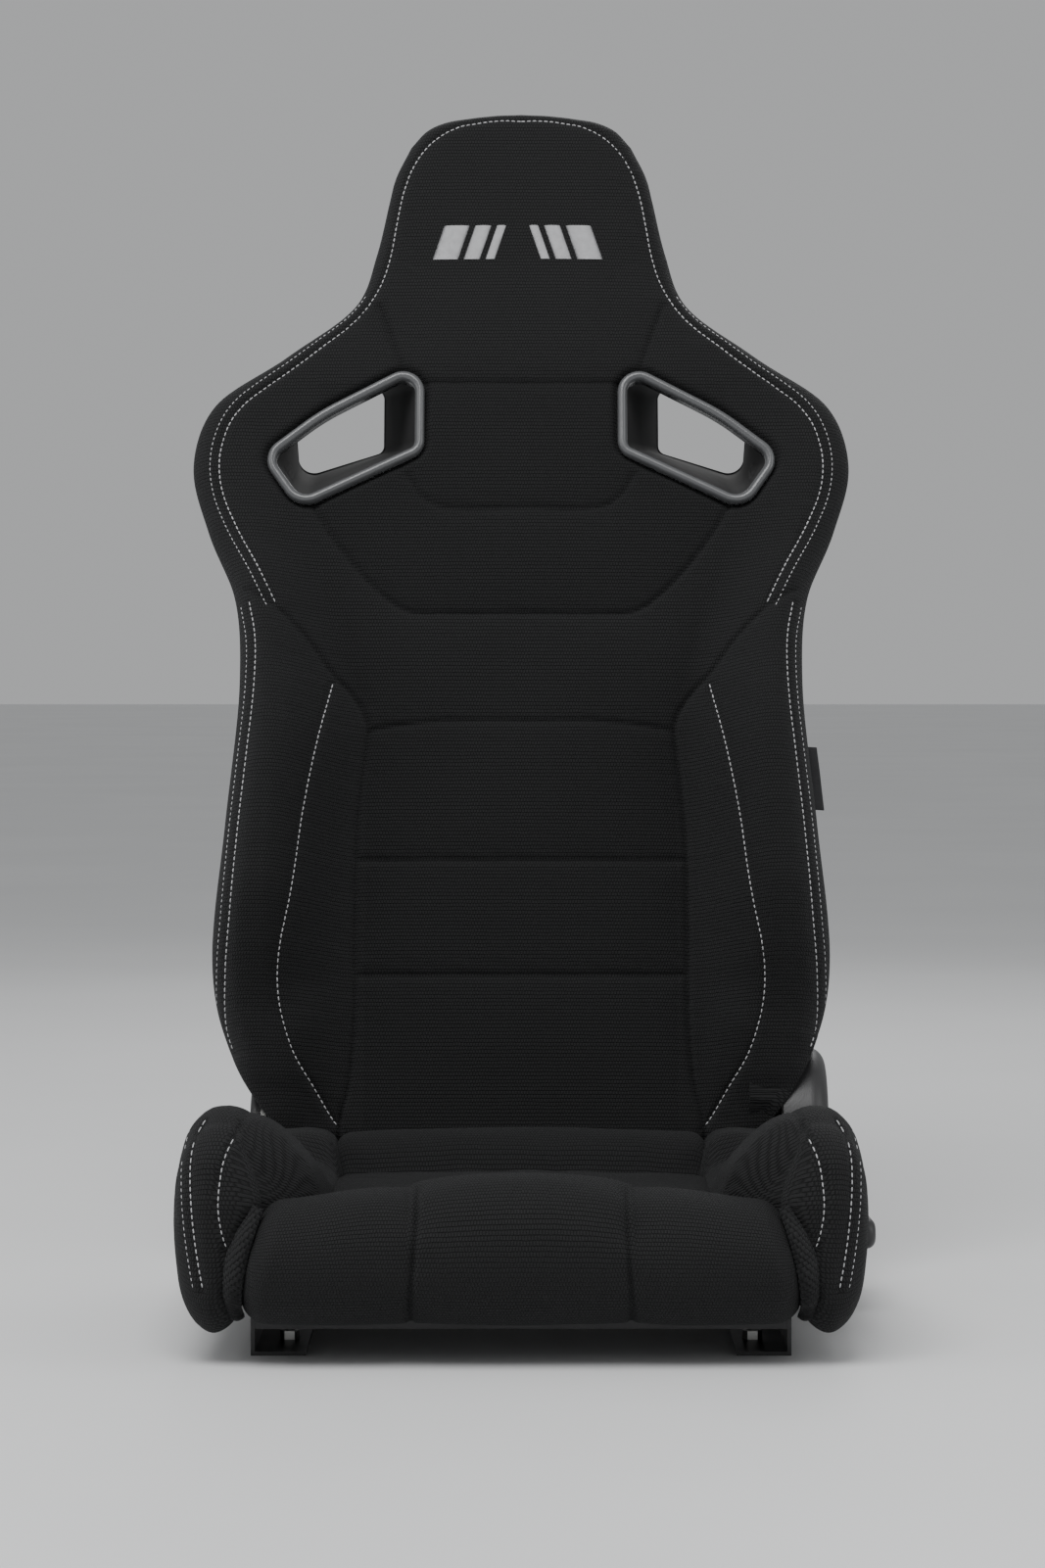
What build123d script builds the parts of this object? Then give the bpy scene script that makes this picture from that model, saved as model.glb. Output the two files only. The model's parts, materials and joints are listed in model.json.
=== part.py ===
from build123d import *

import os
from math import atan2, cos, degrees, hypot, radians, sin

# Reclining sports car seat for motorsport use, in millimetres and degrees.
# Row frame: +Z up, the seat faces -Y, and +X is on the right as seen from the front.
# The origin is the centre of the four floor bolts, on the underside of the side flanges.
# Left and right in names are as seen from the front. The lever is on the right.

# ---------------------------------------------------------------- driving dimensions
# Recline pivot and the backrest's rest angle from vertical
PIVOT_Y = 205.0
PIVOT_Z = 118.0
REST_RECLINE = 14.0

# Floor bolts: M8 in the side flanges
BOLT_X = 175.0
BOLT_Y = 150.0
BOLT_HOLE_R = 4.25

# Side members
WEB_X = 198.0
WEB_T = 3.0
SIDE_FRONT_Y = -210.0
SIDE_REAR_Y = 235.0
SIDE_TOP_Z = 95.0
FLANGE_IN = 38.0
LIP_IN = 12.0

# Recliner sandwich, outwards from the side member
BASE_PLATE_X = WEB_X + WEB_T
BASE_PLATE_T = 5.0
ARM_X = BASE_PLATE_X + BASE_PLATE_T + 0.5
ARM_T = 5.0
GUARD_X = ARM_X + ARM_T + 0.5
GUARD_T = 4.0
GUARD_OUT = GUARD_X + GUARD_T
PLATE_R = 50.0

# Toothed sector and pawl
SECTOR_R = 42.0
TOOTH_H = 2.5
TOOTH_PITCH = 5.0
SECTOR_START = 175.0
SECTOR_END = 305.0
PAWL_ANGLE = 235.0
PAWL_GAP = 0.5
PAWL_NOSE_R = 58.0
PAWL_RELIEF_R = 53.5
PAWL_PIN_Y = 149.0
PAWL_PIN_Z = 92.0
ROD_Y = 167.5
ROD_Z = 53.0
ROD_R = 5.0
CAM_R = 15.9

# Tubes
CROSS_TUBE_R = 12.5
HOOP_R = 11.0
HOOP_W = -31.0
HOOP_X = ARM_X - HOOP_R
TUBE_WALL = 2.0
WIRE_R = 1.6
RUN_FIT = 0.05

# Backrest, in its own frame: x across, u up the back, w towards the occupant
FOAM_BACK_W = -18.0
SHELL_BACK_W = -60.0
SHELL_FRONT_W = -20.0
SHELL_WALL = 3.0
SHELL_INSET = 6.0
SHELL_FOOT_U = 40.0
BACK_TOP_U = 900.0
INSERT_HALF = 136.0
INSERT_TOP_U = 341.0
SHOULDER_U = 506.0
CORNER_U = 75.0
CORNER_X = 192.0

# Cushion
SEAT_HALF = 254.0
SEAT_FRONT_Y = -290.0
ROLL_BACK_Y = -213.5
PAN_Z = 60.0
SEAT_REAR_Y = 145.0

BACK = Plane(
    origin=(0, PIVOT_Y, PIVOT_Z),
    x_dir=(1, 0, 0),
    z_dir=(0, -cos(radians(REST_RECLINE)), sin(radians(REST_RECLINE))),
)


# ---------------------------------------------------------------- helpers
def mirrored(shape):
    return mirror(shape, about=Plane.YZ)


def side_extrude(sketch, x_from, x_to):
    """A sketch drawn in (y, z), extruded from one x to another."""
    return extrude(Plane.YZ.offset(x_from) * sketch, amount=x_to - x_from)


def x_cylinder(radius, y, z, x_from, x_to):
    return side_extrude(Pos(y, z) * Circle(radius), x_from, x_to)


def x_hexagon(across_flats, y, z, x_from, x_to):
    return side_extrude(Pos(y, z) * RegularPolygon(across_flats / 2, 6, major_radius=False), x_from, x_to)


def disc_hull(*discs):
    """Convex outline round several (a, b, radius) discs."""
    edges = []
    for a, b, radius in discs:
        edges.extend((Pos(a, b) * Circle(radius)).edges())
    return make_hull(edges)


def back_extrude(sketch, w_from, w_to):
    """A sketch drawn in the backrest's (x, u), extruded from one w to another, still in that frame."""
    return extrude(Pos(0, 0, w_from) * sketch, amount=w_to - w_from)


def back_profile(points, x_from, x_to):
    """A (u, w) outline extruded along x, in the backrest's frame."""
    return extrude(Plane.YZ.offset(x_from) * make_face(Polyline(*points, close=True)), amount=x_to - x_from)


def back_section(points, u_from, u_to):
    """An (x, w) outline extruded along u, in the backrest's frame."""
    plane = Plane(origin=(0, u_from, 0), x_dir=(1, 0, 0), z_dir=(0, 1, 0))
    flipped = [(x, -w) for x, w in points]
    return extrude(plane * make_face(Polyline(*flipped, close=True)), amount=u_to - u_from)


def on_back(shape):
    return BACK.location * shape


def back_yz(u, w):
    """Row-frame (y, z) of a backrest (u, w)."""
    tilt = radians(REST_RECLINE)
    return (PIVOT_Y + u * sin(tilt) - w * cos(tilt), PIVOT_Z + u * cos(tilt) + w * sin(tilt))


def polar(radius, angle):
    """Row-frame (y, z) at a radius and angle about the pivot."""
    return (PIVOT_Y + radius * cos(radians(angle)), PIVOT_Z + radius * sin(radians(angle)))


def zigzag(start, end, swing, waves):
    """Points of a sinuous spring: along from start to end, swinging sideways between the ends."""
    points = [(start, 0)]
    step = (end - start) / (waves + 1)
    for i in range(waves):
        side = swing if i % 2 == 0 else -swing
        points.append((start + step * (i + 0.72), side))
        points.append((start + step * (i + 1.28), side))
    points.append((end, 0))
    return points


def wire(points, radius, bend):
    path = FilletPolyline(*points, radius=bend)
    start = Plane(origin=path @ 0, z_dir=path % 0)
    return sweep(start * Circle(radius), path=path)


# ---------------------------------------------------------------- base frame
def side_member():
    web = Polyline(
        (SIDE_FRONT_Y, 0),
        (SIDE_REAR_Y, 0),
        (SIDE_REAR_Y, PIVOT_Z),
        (PIVOT_Y - PLATE_R, PIVOT_Z),
        (PIVOT_Y - PLATE_R - 25, SIDE_TOP_Z),
        (SIDE_FRONT_Y, SIDE_TOP_Z),
        close=True,
    )
    outline = make_face(web) + Pos(PIVOT_Y, PIVOT_Z) * Circle(PLATE_R)
    plate = side_extrude(outline, WEB_X, WEB_X + WEB_T)
    length = SIDE_REAR_Y - SIDE_FRONT_Y
    middle = (SIDE_REAR_Y + SIDE_FRONT_Y) / 2
    flange = Pos(WEB_X - FLANGE_IN / 2, middle, WEB_T / 2) * Box(FLANGE_IN, length, WEB_T)
    lip_length = 100 - SIDE_FRONT_Y
    lip = Pos(WEB_X - LIP_IN / 2, SIDE_FRONT_Y + lip_length / 2, SIDE_TOP_Z - WEB_T / 2)
    member = plate + flange + lip * Box(LIP_IN, lip_length, WEB_T)
    for y in (-BOLT_Y, BOLT_Y):
        member -= Pos(BOLT_X, y, 0) * Cylinder(BOLT_HOLE_R, 4 * WEB_T)
    for y in (-95, -20, 55):
        member -= x_cylinder(18, y, 52, WEB_X - 1, WEB_X + WEB_T + 1)
    for y, z, radius in plate_holes():
        member -= x_cylinder(radius, y, z, WEB_X - 1, WEB_X + WEB_T + 1)
    return member


PLATE_BOLTS = ((119, 42), (222, 38))


def plate_holes():
    holes = [(y, z, 4.1) for y, z in PLATE_BOLTS]
    holes.append((PIVOT_Y, PIVOT_Z, 6 + RUN_FIT))
    holes.append((PAWL_PIN_Y, PAWL_PIN_Z, 4 + RUN_FIT))
    holes.append((ROD_Y, ROD_Z, ROD_R + 2 * RUN_FIT))
    return holes


def cross_tube(y, z):
    tube = x_cylinder(CROSS_TUBE_R, y, z, -WEB_X, WEB_X)
    return tube - x_cylinder(CROSS_TUBE_R - TUBE_WALL, y, z, -WEB_X - 1, WEB_X + 1)


def weld_nuts():
    nuts = []
    for x in (-BOLT_X, BOLT_X):
        for y in (-BOLT_Y, BOLT_Y):
            blank = extrude(Pos(x, y, WEB_T) * RegularPolygon(6.5, 6, major_radius=False), amount=6.5)
            nuts.append(blank - Pos(x, y, WEB_T) * Cylinder(BOLT_HOLE_R, 30))
    return Compound(children=nuts)


PAN_REAR_Y = -112.0


def front_pan():
    """Pressed sheet under the front of the cushion, with a front face and a rear lip."""
    sheet = 1.6
    top = [(SIDE_FRONT_Y, 20), (SIDE_FRONT_Y, PAN_Z), (PAN_REAR_Y, PAN_Z), (PAN_REAR_Y, 48)]
    inner = [
        (PAN_REAR_Y - sheet, 48),
        (PAN_REAR_Y - sheet, PAN_Z - sheet),
        (SIDE_FRONT_Y + sheet, PAN_Z - sheet),
        (SIDE_FRONT_Y + sheet, 20),
    ]
    return side_extrude(make_face(Polyline(*top, *inner, close=True)), -WEB_X + 0.2, WEB_X - 0.2)


def seat_springs():
    wires = []
    for x in (-105, -35, 35, 105):
        line = zigzag(PAN_REAR_Y + 2, 152, 12, 9)
        points = [(x + swing, y, PAN_Z - WIRE_R) for y, swing in line]
        wires.append(wire(points, WIRE_R, 4))
    return Compound(children=wires)


# ---------------------------------------------------------------- recliner
def recliner_outline():
    return disc_hull(
        (PIVOT_Y, PIVOT_Z, PLATE_R),
        (PLATE_BOLTS[0][0], PLATE_BOLTS[0][1], 14),
        (PLATE_BOLTS[1][0], PLATE_BOLTS[1][1], 14),
    )


def recliner_plate(x_from, thickness):
    plate = side_extrude(recliner_outline(), x_from, x_from + thickness)
    for y, z, radius in plate_holes():
        plate -= x_cylinder(radius, y, z, x_from - 1, x_from + thickness + 1)
    return plate


def plate_spacers():
    made = []
    for y, z in PLATE_BOLTS:
        x_end = BASE_PLATE_X + BASE_PLATE_T
        ring = x_cylinder(8, y, z, x_end, GUARD_X) - x_cylinder(4.1, y, z, x_end - 1, GUARD_X + 1)
        made.extend([ring, mirrored(ring)])
    return Compound(children=made)


def hex_bolt(radius, across_flats, head, nut_height, y, z, x_from, x_to):
    """A bolt whose head starts at x_to, with its nut on the far end."""
    shank = x_cylinder(radius, y, z, x_from - nut_height - 1, x_to)
    bolt = shank + x_hexagon(across_flats, y, z, x_to, x_to + head)
    nut = x_hexagon(across_flats, y, z, x_from - nut_height, x_from)
    nut -= x_cylinder(radius + RUN_FIT, y, z, x_from - nut_height - 1, x_from + 1)
    return bolt, nut


def plate_bolts():
    made = []
    for y, z in PLATE_BOLTS:
        bolt, nut = hex_bolt(4, 13, 5, 5, y, z, WEB_X, GUARD_OUT)
        made.extend([bolt, nut, mirrored(bolt), mirrored(nut)])
    return Compound(children=made)


STUD_END = 231.0


def pivot_bolts():
    bolt, nut = hex_bolt(6, 19, 6, 4, PIVOT_Y, PIVOT_Z, WEB_X, GUARD_OUT)
    left_bolt = mirrored(bolt)
    left_nut = mirrored(nut)
    stud = x_cylinder(5, PIVOT_Y, PIVOT_Z, GUARD_OUT + 6, STUD_END)
    slot = Pos(STUD_END, PIVOT_Y, PIVOT_Z) * Box(14, 1.8, 14)
    return Compound(children=[bolt + stud - slot, nut, left_bolt, left_nut])


def pawl_pins():
    pin = x_cylinder(4, PAWL_PIN_Y, PAWL_PIN_Z, WEB_X, GUARD_OUT)
    return Compound(children=[pin, mirrored(pin)])


def sector():
    points = []
    steps = round((SECTOR_END - SECTOR_START) / (TOOTH_PITCH / 2))
    for i in range(steps + 1):
        radius = SECTOR_R if i % 2 == 0 else SECTOR_R - TOOTH_H
        points.append(polar(radius, SECTOR_START + i * TOOTH_PITCH / 2))
    points.append((PIVOT_Y, PIVOT_Z))
    return make_face(Polyline(*points, close=True))


ARM_BOLTS_U = (92, 140)
POST_U = 58.0
POST_R = 4.0


def recliner_arm():
    low = back_yz(66, HOOP_W)
    high = back_yz(143, HOOP_W)
    post = back_yz(POST_U, 0)
    blade = disc_hull((PIVOT_Y, PIVOT_Z, 24), (*low, 12.5), (*post, 7)) + disc_hull((*low, 12.5), (*high, 12.5))
    arm = side_extrude(blade + sector(), ARM_X, ARM_X + ARM_T)
    arm -= x_cylinder(8 + RUN_FIT, PIVOT_Y, PIVOT_Z, ARM_X - 1, ARM_X + ARM_T + 1)
    for u in ARM_BOLTS_U:
        arm -= x_cylinder(4.1, *back_yz(u, HOOP_W), ARM_X - 1, ARM_X + ARM_T + 1)
    return arm - x_cylinder(POST_R + RUN_FIT, *post, ARM_X - 1, ARM_X + ARM_T + 1)


def pivot_bushes():
    bush = x_cylinder(8, PIVOT_Y, PIVOT_Z, ARM_X, ARM_X + ARM_T)
    bush -= x_cylinder(6 + RUN_FIT, PIVOT_Y, PIVOT_Z, ARM_X - 1, ARM_X + ARM_T + 1)
    return Compound(children=[bush, mirrored(bush)])


def arm_bolts():
    made = []
    for u in ARM_BOLTS_U:
        y, z = back_yz(u, HOOP_W)
        inner = HOOP_X - HOOP_R
        bolt, nut = hex_bolt(4, 13, 5, 5, y, z, inner, ARM_X + ARM_T)
        made.extend([bolt, nut, mirrored(bolt), mirrored(nut)])
    return Compound(children=made)


def spring_post():
    return x_cylinder(POST_R, *back_yz(POST_U, 0), ARM_X, STUD_END)


def recline_spring():
    """Flat spiral strip from the slotted pivot stud out to the post on the arm."""
    inner_r = 6.2
    post_angle = degrees(atan2(cos(radians(REST_RECLINE)), sin(radians(REST_RECLINE))))
    outer_r = POST_U - POST_R - 1.4
    turns = 4
    points = []
    for i in range(turns * 8 + 1):
        share = i / (turns * 8)
        angle = post_angle - 360 * turns * (1 - share)
        points.append(polar(inner_r + (outer_r - inner_r) * share, angle))
    path = Spline(*points)
    strip = 1.4
    outer = [polar(hypot(y - PIVOT_Y, z - PIVOT_Z) + strip, degrees(atan2(z - PIVOT_Z, y - PIVOT_Y)))
             for y, z in points]
    far = Spline(*outer)
    ends = [Line(path @ 0, far @ 0), Line(path @ 1, far @ 1)]
    return side_extrude(make_face([path, far, *ends]), GUARD_OUT + 7, STUD_END - 1)


def pawl():
    """Locking pawl for one side, standing just clear of the sector's teeth."""
    face = []
    for i in range(-5, 6):
        radius = SECTOR_R + PAWL_GAP if i % 2 else SECTOR_R + PAWL_GAP + TOOTH_H
        face.append(polar(radius, PAWL_ANGLE + i * TOOTH_PITCH / 2))
    direction = radians(PAWL_ANGLE)
    out = (cos(direction), sin(direction))
    along = (-sin(direction), cos(direction))

    def at(radial, tangent):
        return (
            PIVOT_Y + out[0] * radial + along[0] * tangent,
            PIVOT_Z + out[1] * radial + along[1] * tangent,
        )

    back = [at(PAWL_RELIEF_R, 10.5), at(PAWL_RELIEF_R, 7.1), at(PAWL_NOSE_R, 7.1), at(PAWL_NOSE_R, -5)]
    eye = (PAWL_PIN_Y, PAWL_PIN_Z)
    tail = [at(62, -24), eye, at(47, -22)]
    blank = make_face(Polyline(*face, *back, *tail, close=True)) + Pos(*eye) * Circle(9)
    plate = side_extrude(blank, ARM_X + 0.1, ARM_X + ARM_T - 0.1)
    return plate - x_cylinder(4 + RUN_FIT, *eye, ARM_X - 1, ARM_X + ARM_T + 1)


def cam():
    """Release cam: a hub on the rod with one short lobe behind the pawl's nose."""
    towards = PAWL_ANGLE - 180
    lobe = [(ROD_Y, ROD_Z)]
    for angle in (3, -2, -8, -15):
        turn = radians(towards + angle)
        lobe.append((ROD_Y + CAM_R * cos(turn), ROD_Z + CAM_R * sin(turn)))
    outline = Pos(ROD_Y, ROD_Z) * Circle(9.5) + make_face(Polyline(*lobe, close=True))
    plate = side_extrude(outline, ARM_X + 0.1, ARM_X + ARM_T - 0.1)
    return plate - x_cylinder(ROD_R, ROD_Y, ROD_Z, ARM_X - 1, ARM_X + ARM_T + 1)


COVER_IN = 217.0
COVER_OUT = 255.0
COVER_WALL = 2.5


def recliner_cover():
    """Moulded outboard cover: a dished shell open towards the seat."""
    outline = disc_hull((PIVOT_Y, PIVOT_Z, 71), (123, 41, 18), (227, 39, 18))
    outer = side_extrude(outline, COVER_IN, COVER_OUT)
    outer = fillet(outer.faces().sort_by(Axis.X)[-1].edges(), 15)
    core_outline = disc_hull(
        (PIVOT_Y, PIVOT_Z, 71 - COVER_WALL), (123, 41, 18 - COVER_WALL), (227, 39, 18 - COVER_WALL)
    )
    core = side_extrude(core_outline, COVER_IN - 1, COVER_OUT - COVER_WALL)
    core = fillet(core.faces().sort_by(Axis.X)[-1].edges(), 13)
    cover = outer - core
    for y, z in COVER_SCREWS:
        boss = x_cylinder(5, y, z, COVER_IN, COVER_OUT - COVER_WALL)
        cover += boss
        cover -= x_cylinder(2.1, y, z, COVER_IN - 1, COVER_OUT + 1)
        cover -= x_cylinder(4.2, y, z, COVER_OUT - 2, COVER_OUT + 1)
    return cover - x_cylinder(8, ROD_Y, ROD_Z, COVER_IN - 1, COVER_OUT + 1)


COVER_SCREWS = ((140, 62), (221, 62))


def cover_screws():
    made = []
    for y, z in COVER_SCREWS:
        shank = x_cylinder(2, y, z, GUARD_OUT + 0.2, COVER_OUT - 1.9)
        made.append(shank + x_cylinder(4, y, z, COVER_OUT - 1.9, COVER_OUT))
    return Compound(children=made)


def recliner_cap():
    """Slim cap over the left pivot bolt's head."""
    outer = x_cylinder(40, PIVOT_Y, PIVOT_Z, GUARD_OUT + 0.2, GUARD_OUT + 10)
    outer = fillet(outer.faces().sort_by(Axis.X)[-1].edges(), 5)
    return mirrored(outer - x_cylinder(37.5, PIVOT_Y, PIVOT_Z, GUARD_OUT - 1, GUARD_OUT + 7.5))


# ---------------------------------------------------------------- release lever
LEVER_X = 262.5
LEVER_T = 4.0
LEVER_TIP = (-15.0, 64.0)


def cross_rod():
    return x_cylinder(ROD_R, ROD_Y, ROD_Z, -GUARD_OUT - 4, LEVER_X + LEVER_T + 6)


def lever_blade():
    return disc_hull((ROD_Y, ROD_Z, 14), (95, 60, 9)) + disc_hull((95, 60, 9), (*LEVER_TIP, 5))


def lever_arm():
    arm = side_extrude(lever_blade(), LEVER_X, LEVER_X + LEVER_T)
    return arm - x_cylinder(ROD_R, ROD_Y, ROD_Z, LEVER_X - 1, LEVER_X + LEVER_T + 1)


def lever_nut():
    nut = x_hexagon(15, ROD_Y, ROD_Z, LEVER_X + LEVER_T, LEVER_X + LEVER_T + 5)
    return nut - x_cylinder(ROD_R, ROD_Y, ROD_Z, LEVER_X, LEVER_X + LEVER_T + 10)


def lever_grip():
    outline = disc_hull((70, 60, 13), (-22, 64.5, 12))
    grip = side_extrude(outline, LEVER_X - 0.6, LEVER_X + 16.5)
    grip = fillet(grip.faces().sort_by(Axis.X)[-1].edges(), 7)
    return grip - side_extrude(lever_blade(), LEVER_X - 0.02, LEVER_X + LEVER_T + 0.02)


# ---------------------------------------------------------------- back frame
HOOP_PATH = ((HOOP_X, 62), (HOOP_X, 165), (221, 430), (188, 500), (78, 572), (78, 838), (54, 872))
HOOP_BENDS = (180, 60, 55, 45, 30, 20)
SCREWS = ((78, 640), (78, 800), (207, 290))


def hoop_path():
    right = [(x, u, HOOP_W) for x, u in HOOP_PATH]
    left = [(-x, u, HOOP_W) for x, u in reversed(HOOP_PATH)]
    return FilletPolyline(*right, *left, radius=[*HOOP_BENDS, *reversed(HOOP_BENDS)])


def hoop_solid(radius):
    path = hoop_path()
    start = Plane(origin=path @ 0, z_dir=path % 0)
    return sweep(start * Circle(radius), path=path)


def back_frame_hoop():
    hoop = hoop_solid(HOOP_R) - hoop_solid(HOOP_R - TUBE_WALL)
    for u in ARM_BOLTS_U:
        for side in (-1, 1):
            hoop -= Pos(side * HOOP_X, u, HOOP_W) * Rot(0, 90, 0) * Cylinder(4.1, 60)
    for x, u in SCREWS:
        for side in (-1, 1):
            hoop -= Pos(side * x, u, HOOP_W - 10) * Cylinder(2.1, 20)
    return on_back(hoop)


def back_cross_bars():
    made = []
    hoop = hoop_solid(HOOP_R)
    for u, half in ((116, HOOP_X), (468, 203), (735, 78)):
        bar = Pos(0, u, HOOP_W) * Rot(0, 90, 0) * (Cylinder(8, 2 * half) - Cylinder(6.5, 2 * half + 2))
        parts = (bar - hoop).solids()
        middle = min(parts, key=lambda solid: abs(solid.center().X) - solid.volume)
        made.append(on_back(middle))
    return Compound(children=made)


def hoop_inner_x(u):
    """Inner edge of the hoop's lower leg at a height."""
    (x0, u0), (x1, u1) = HOOP_PATH[1:3]
    lean = max(0.0, (u - u0) / (u1 - u0))
    return x0 + (x1 - x0) * lean - HOOP_R


def back_springs():
    wires = []
    for u in (160, 235, 310, 385):
        half = hoop_inner_x(u) - 1
        points = [(along, u + swing, HOOP_W) for along, swing in zigzag(-half, half, 13, 11)]
        wires.append(on_back(wire(points, WIRE_R, 4)))
    return Compound(children=wires)


# ---------------------------------------------------------------- backrest outline and pads
# Right half of the front outline (x, u), from the cut lower corner up to the crown
OUTLINE = (
    (236, CORNER_U),
    (258, 140),
    (249, 249),
    (239, 372),
    (245, 450),
    (270, 514),
    (284, 572),
    (268, 624),
    (204, 672),
    (144, 721),
    (127, 769),
    (116, 819),
    (98, 868),
    (48, 896),
    (0, BACK_TOP_U),
)


def outline_curve(inset):
    """Right half of the outline, moved inwards by an inset."""
    curve = Spline(*OUTLINE, tangents=((0.42, 1), (-1, 0)), tangent_scalars=(0.6, 1))
    if not inset:
        return curve
    points = []
    spans = 28
    for i in range(spans + 1):
        place = curve @ (i / spans)
        heading = curve % (i / spans)
        points.append((place.X - heading.Y * inset, place.Y + heading.X * inset))
    return Spline(*points, tangents=(curve % 0, curve % 1))


def outline_face(low_u, inset=0.0):
    """Whole backrest outline above the cut corners, with a narrower part down to low_u."""
    right = outline_curve(inset)
    left = mirror(right, about=Plane.YZ)
    corner = right @ 0
    foot = Line((-corner.X, corner.Y), (corner.X, corner.Y))
    upper = make_face([right, left, foot])
    half = CORNER_X - inset
    lower = Polyline((-half, low_u), (half, low_u), (half, corner.Y), (-half, corner.Y), close=True)
    return upper + make_face(lower)


def tunnel_front():
    """Right harness opening at the front, wide enough for a 3 inch belt."""
    return make_face(Polyline((94, 583), (96, 641), (172, 605), (208, 571), (187, 539), close=True))


def tunnel_rear():
    """The same opening at the rear shell, a little higher and narrower."""
    return make_face(Polyline((122, 612), (122, 678), (166, 660), (200, 634), (196, 588), close=True))


BEZEL_BAND = 7.6
BEZEL_BACK_W = 54.0
BEZEL_FRONT_W = 65.0
SLEEVE_WALL = 2.5


def tunnel_solid(margin):
    """The harness tunnel grown sideways by a margin, through the whole backrest."""
    front = offset(tunnel_front(), amount=margin, kind=Kind.INTERSECTION) if margin else tunnel_front()
    rear = offset(tunnel_rear(), amount=margin, kind=Kind.INTERSECTION) if margin else tunnel_rear()
    return loft([Pos(0, 0, BEZEL_BACK_W) * front, Pos(0, 0, SHELL_BACK_W) * rear], ruled=True)


def ring(opening, inner, outer, w_from, w_to):
    face = offset(opening, amount=outer) - (offset(opening, amount=inner) if inner else opening)
    return back_extrude(face, w_from, w_to)


def harness_bezel():
    return on_back(ring(tunnel_front(), 0, BEZEL_BAND, BEZEL_BACK_W, BEZEL_FRONT_W))


def harness_sleeve():
    return on_back(tunnel_solid(SLEEVE_WALL) - tunnel_solid(0))


def rear_bezel():
    return on_back(ring(tunnel_rear(), 0, BEZEL_BAND, SHELL_BACK_W - 4, SHELL_BACK_W))


def pad_tunnel():
    """What the pads leave open for one sleeve and its front bezel."""
    collar = offset(tunnel_front(), amount=BEZEL_BAND + 0.6)
    return tunnel_solid(SLEEVE_WALL + 1.0) + back_extrude(collar, BEZEL_BACK_W - 0.6, 120)


def box_between(low, high):
    size = [b - a for a, b in zip(low, high)]
    middle = [(a + b) / 2 for a, b in zip(low, high)]
    return Pos(*middle) * Box(*size)


def back_centre_pad():
    profile = [
        (INSERT_TOP_U, FOAM_BACK_W),
        (INSERT_TOP_U, 47),
        (25, 47),
        (-2, 46),
        (-20, 36),
        (-24, 10),
        (-20, FOAM_BACK_W),
    ]
    return on_back(back_profile(profile, -INSERT_HALF + 0.5, INSERT_HALF - 0.5))


def back_bolster():
    slab = back_extrude(outline_face(-16), FOAM_BACK_W, 130)
    slab &= box_between((INSERT_HALF, -30, FOAM_BACK_W), (300, SHOULDER_U - 0.5, 140))
    crest = [
        (-16, FOAM_BACK_W),
        (-16, 30),
        (2, 44),
        (30, 52),
        (75, 70),
        (112, 90),
        (150, 108),
        (200, 120),
        (300, 122),
        (400, 105),
        (470, 86),
        (SHOULDER_U, 72),
        (SHOULDER_U, FOAM_BACK_W),
    ]
    slab &= back_profile(crest, 100, 320)
    section = [
        (100, FOAM_BACK_W),
        (100, 47),
        (148, 52),
        (176, 86),
        (206, 123),
        (236, 123),
        (262, 92),
        (272, 50),
        (264, FOAM_BACK_W),
    ]
    return on_back(slab & back_section(section, -40, 600))


def shoulder_pad():
    slab = back_extrude(outline_face(-16), FOAM_BACK_W, 100)
    upper = box_between((-300, SHOULDER_U, FOAM_BACK_W), (300, 950, 120))
    middle = box_between((-INSERT_HALF, INSERT_TOP_U + 0.5, FOAM_BACK_W), (INSERT_HALF, SHOULDER_U, 120))
    slab &= upper + middle
    crest = [
        (INSERT_TOP_U, FOAM_BACK_W),
        (INSERT_TOP_U, 47),
        (SHOULDER_U, 58),
        (640, 62),
        (705, 52),
        (760, 46),
        (860, 42),
        (888, 32),
        (BACK_TOP_U, 8),
        (BACK_TOP_U, FOAM_BACK_W),
    ]
    slab &= back_profile(crest, -320, 320)
    opening = pad_tunnel()
    return on_back(slab - opening - mirrored(opening))


CORNER_NOTCH = 14.0


def back_shell():
    """Rigid rear shell: a shallow tray behind the foam, open at the lower corners for the arms and tube."""
    tray = back_extrude(outline_face(SHELL_FOOT_U, SHELL_INSET), SHELL_BACK_W, SHELL_FRONT_W)
    hollow = outline_face(SHELL_FOOT_U + SHELL_WALL, SHELL_INSET + SHELL_WALL)
    tray -= back_extrude(hollow, SHELL_BACK_W + SHELL_WALL, SHELL_FRONT_W + 1)
    opening = tunnel_solid(SLEEVE_WALL + 0.3)
    tray -= opening + mirrored(opening)
    for x, u in SCREWS:
        for side in (-1, 1):
            tray -= Pos(side * x, u, SHELL_BACK_W) * Cylinder(2.2, 20)
    inside_w = SHELL_BACK_W + SHELL_WALL
    notch = box_between((CORNER_X - CORNER_NOTCH, 0, inside_w), (300, CORNER_U + 10, SHELL_FRONT_W + 1))
    tray -= notch + mirrored(notch)
    return on_back(tray)


def shell_screws():
    made = []
    for x, u in SCREWS:
        for side in (-1, 1):
            head = extrude(Pos(side * x, u, SHELL_BACK_W - 2.4) * Circle(5), amount=2.4)
            shank = extrude(Pos(side * x, u, SHELL_BACK_W) * Circle(2), amount=22)
            made.append(on_back(head + shank))
    return Compound(children=made)


def side_tag():
    """Small folded cloth tag that stands out of the right bolster's outer seam."""
    outline = Polyline((247.4, 264), (254, 264), (251, 318), (241.6, 318), close=True)
    return on_back(back_extrude(make_face(outline), 60, 61.6))


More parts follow.
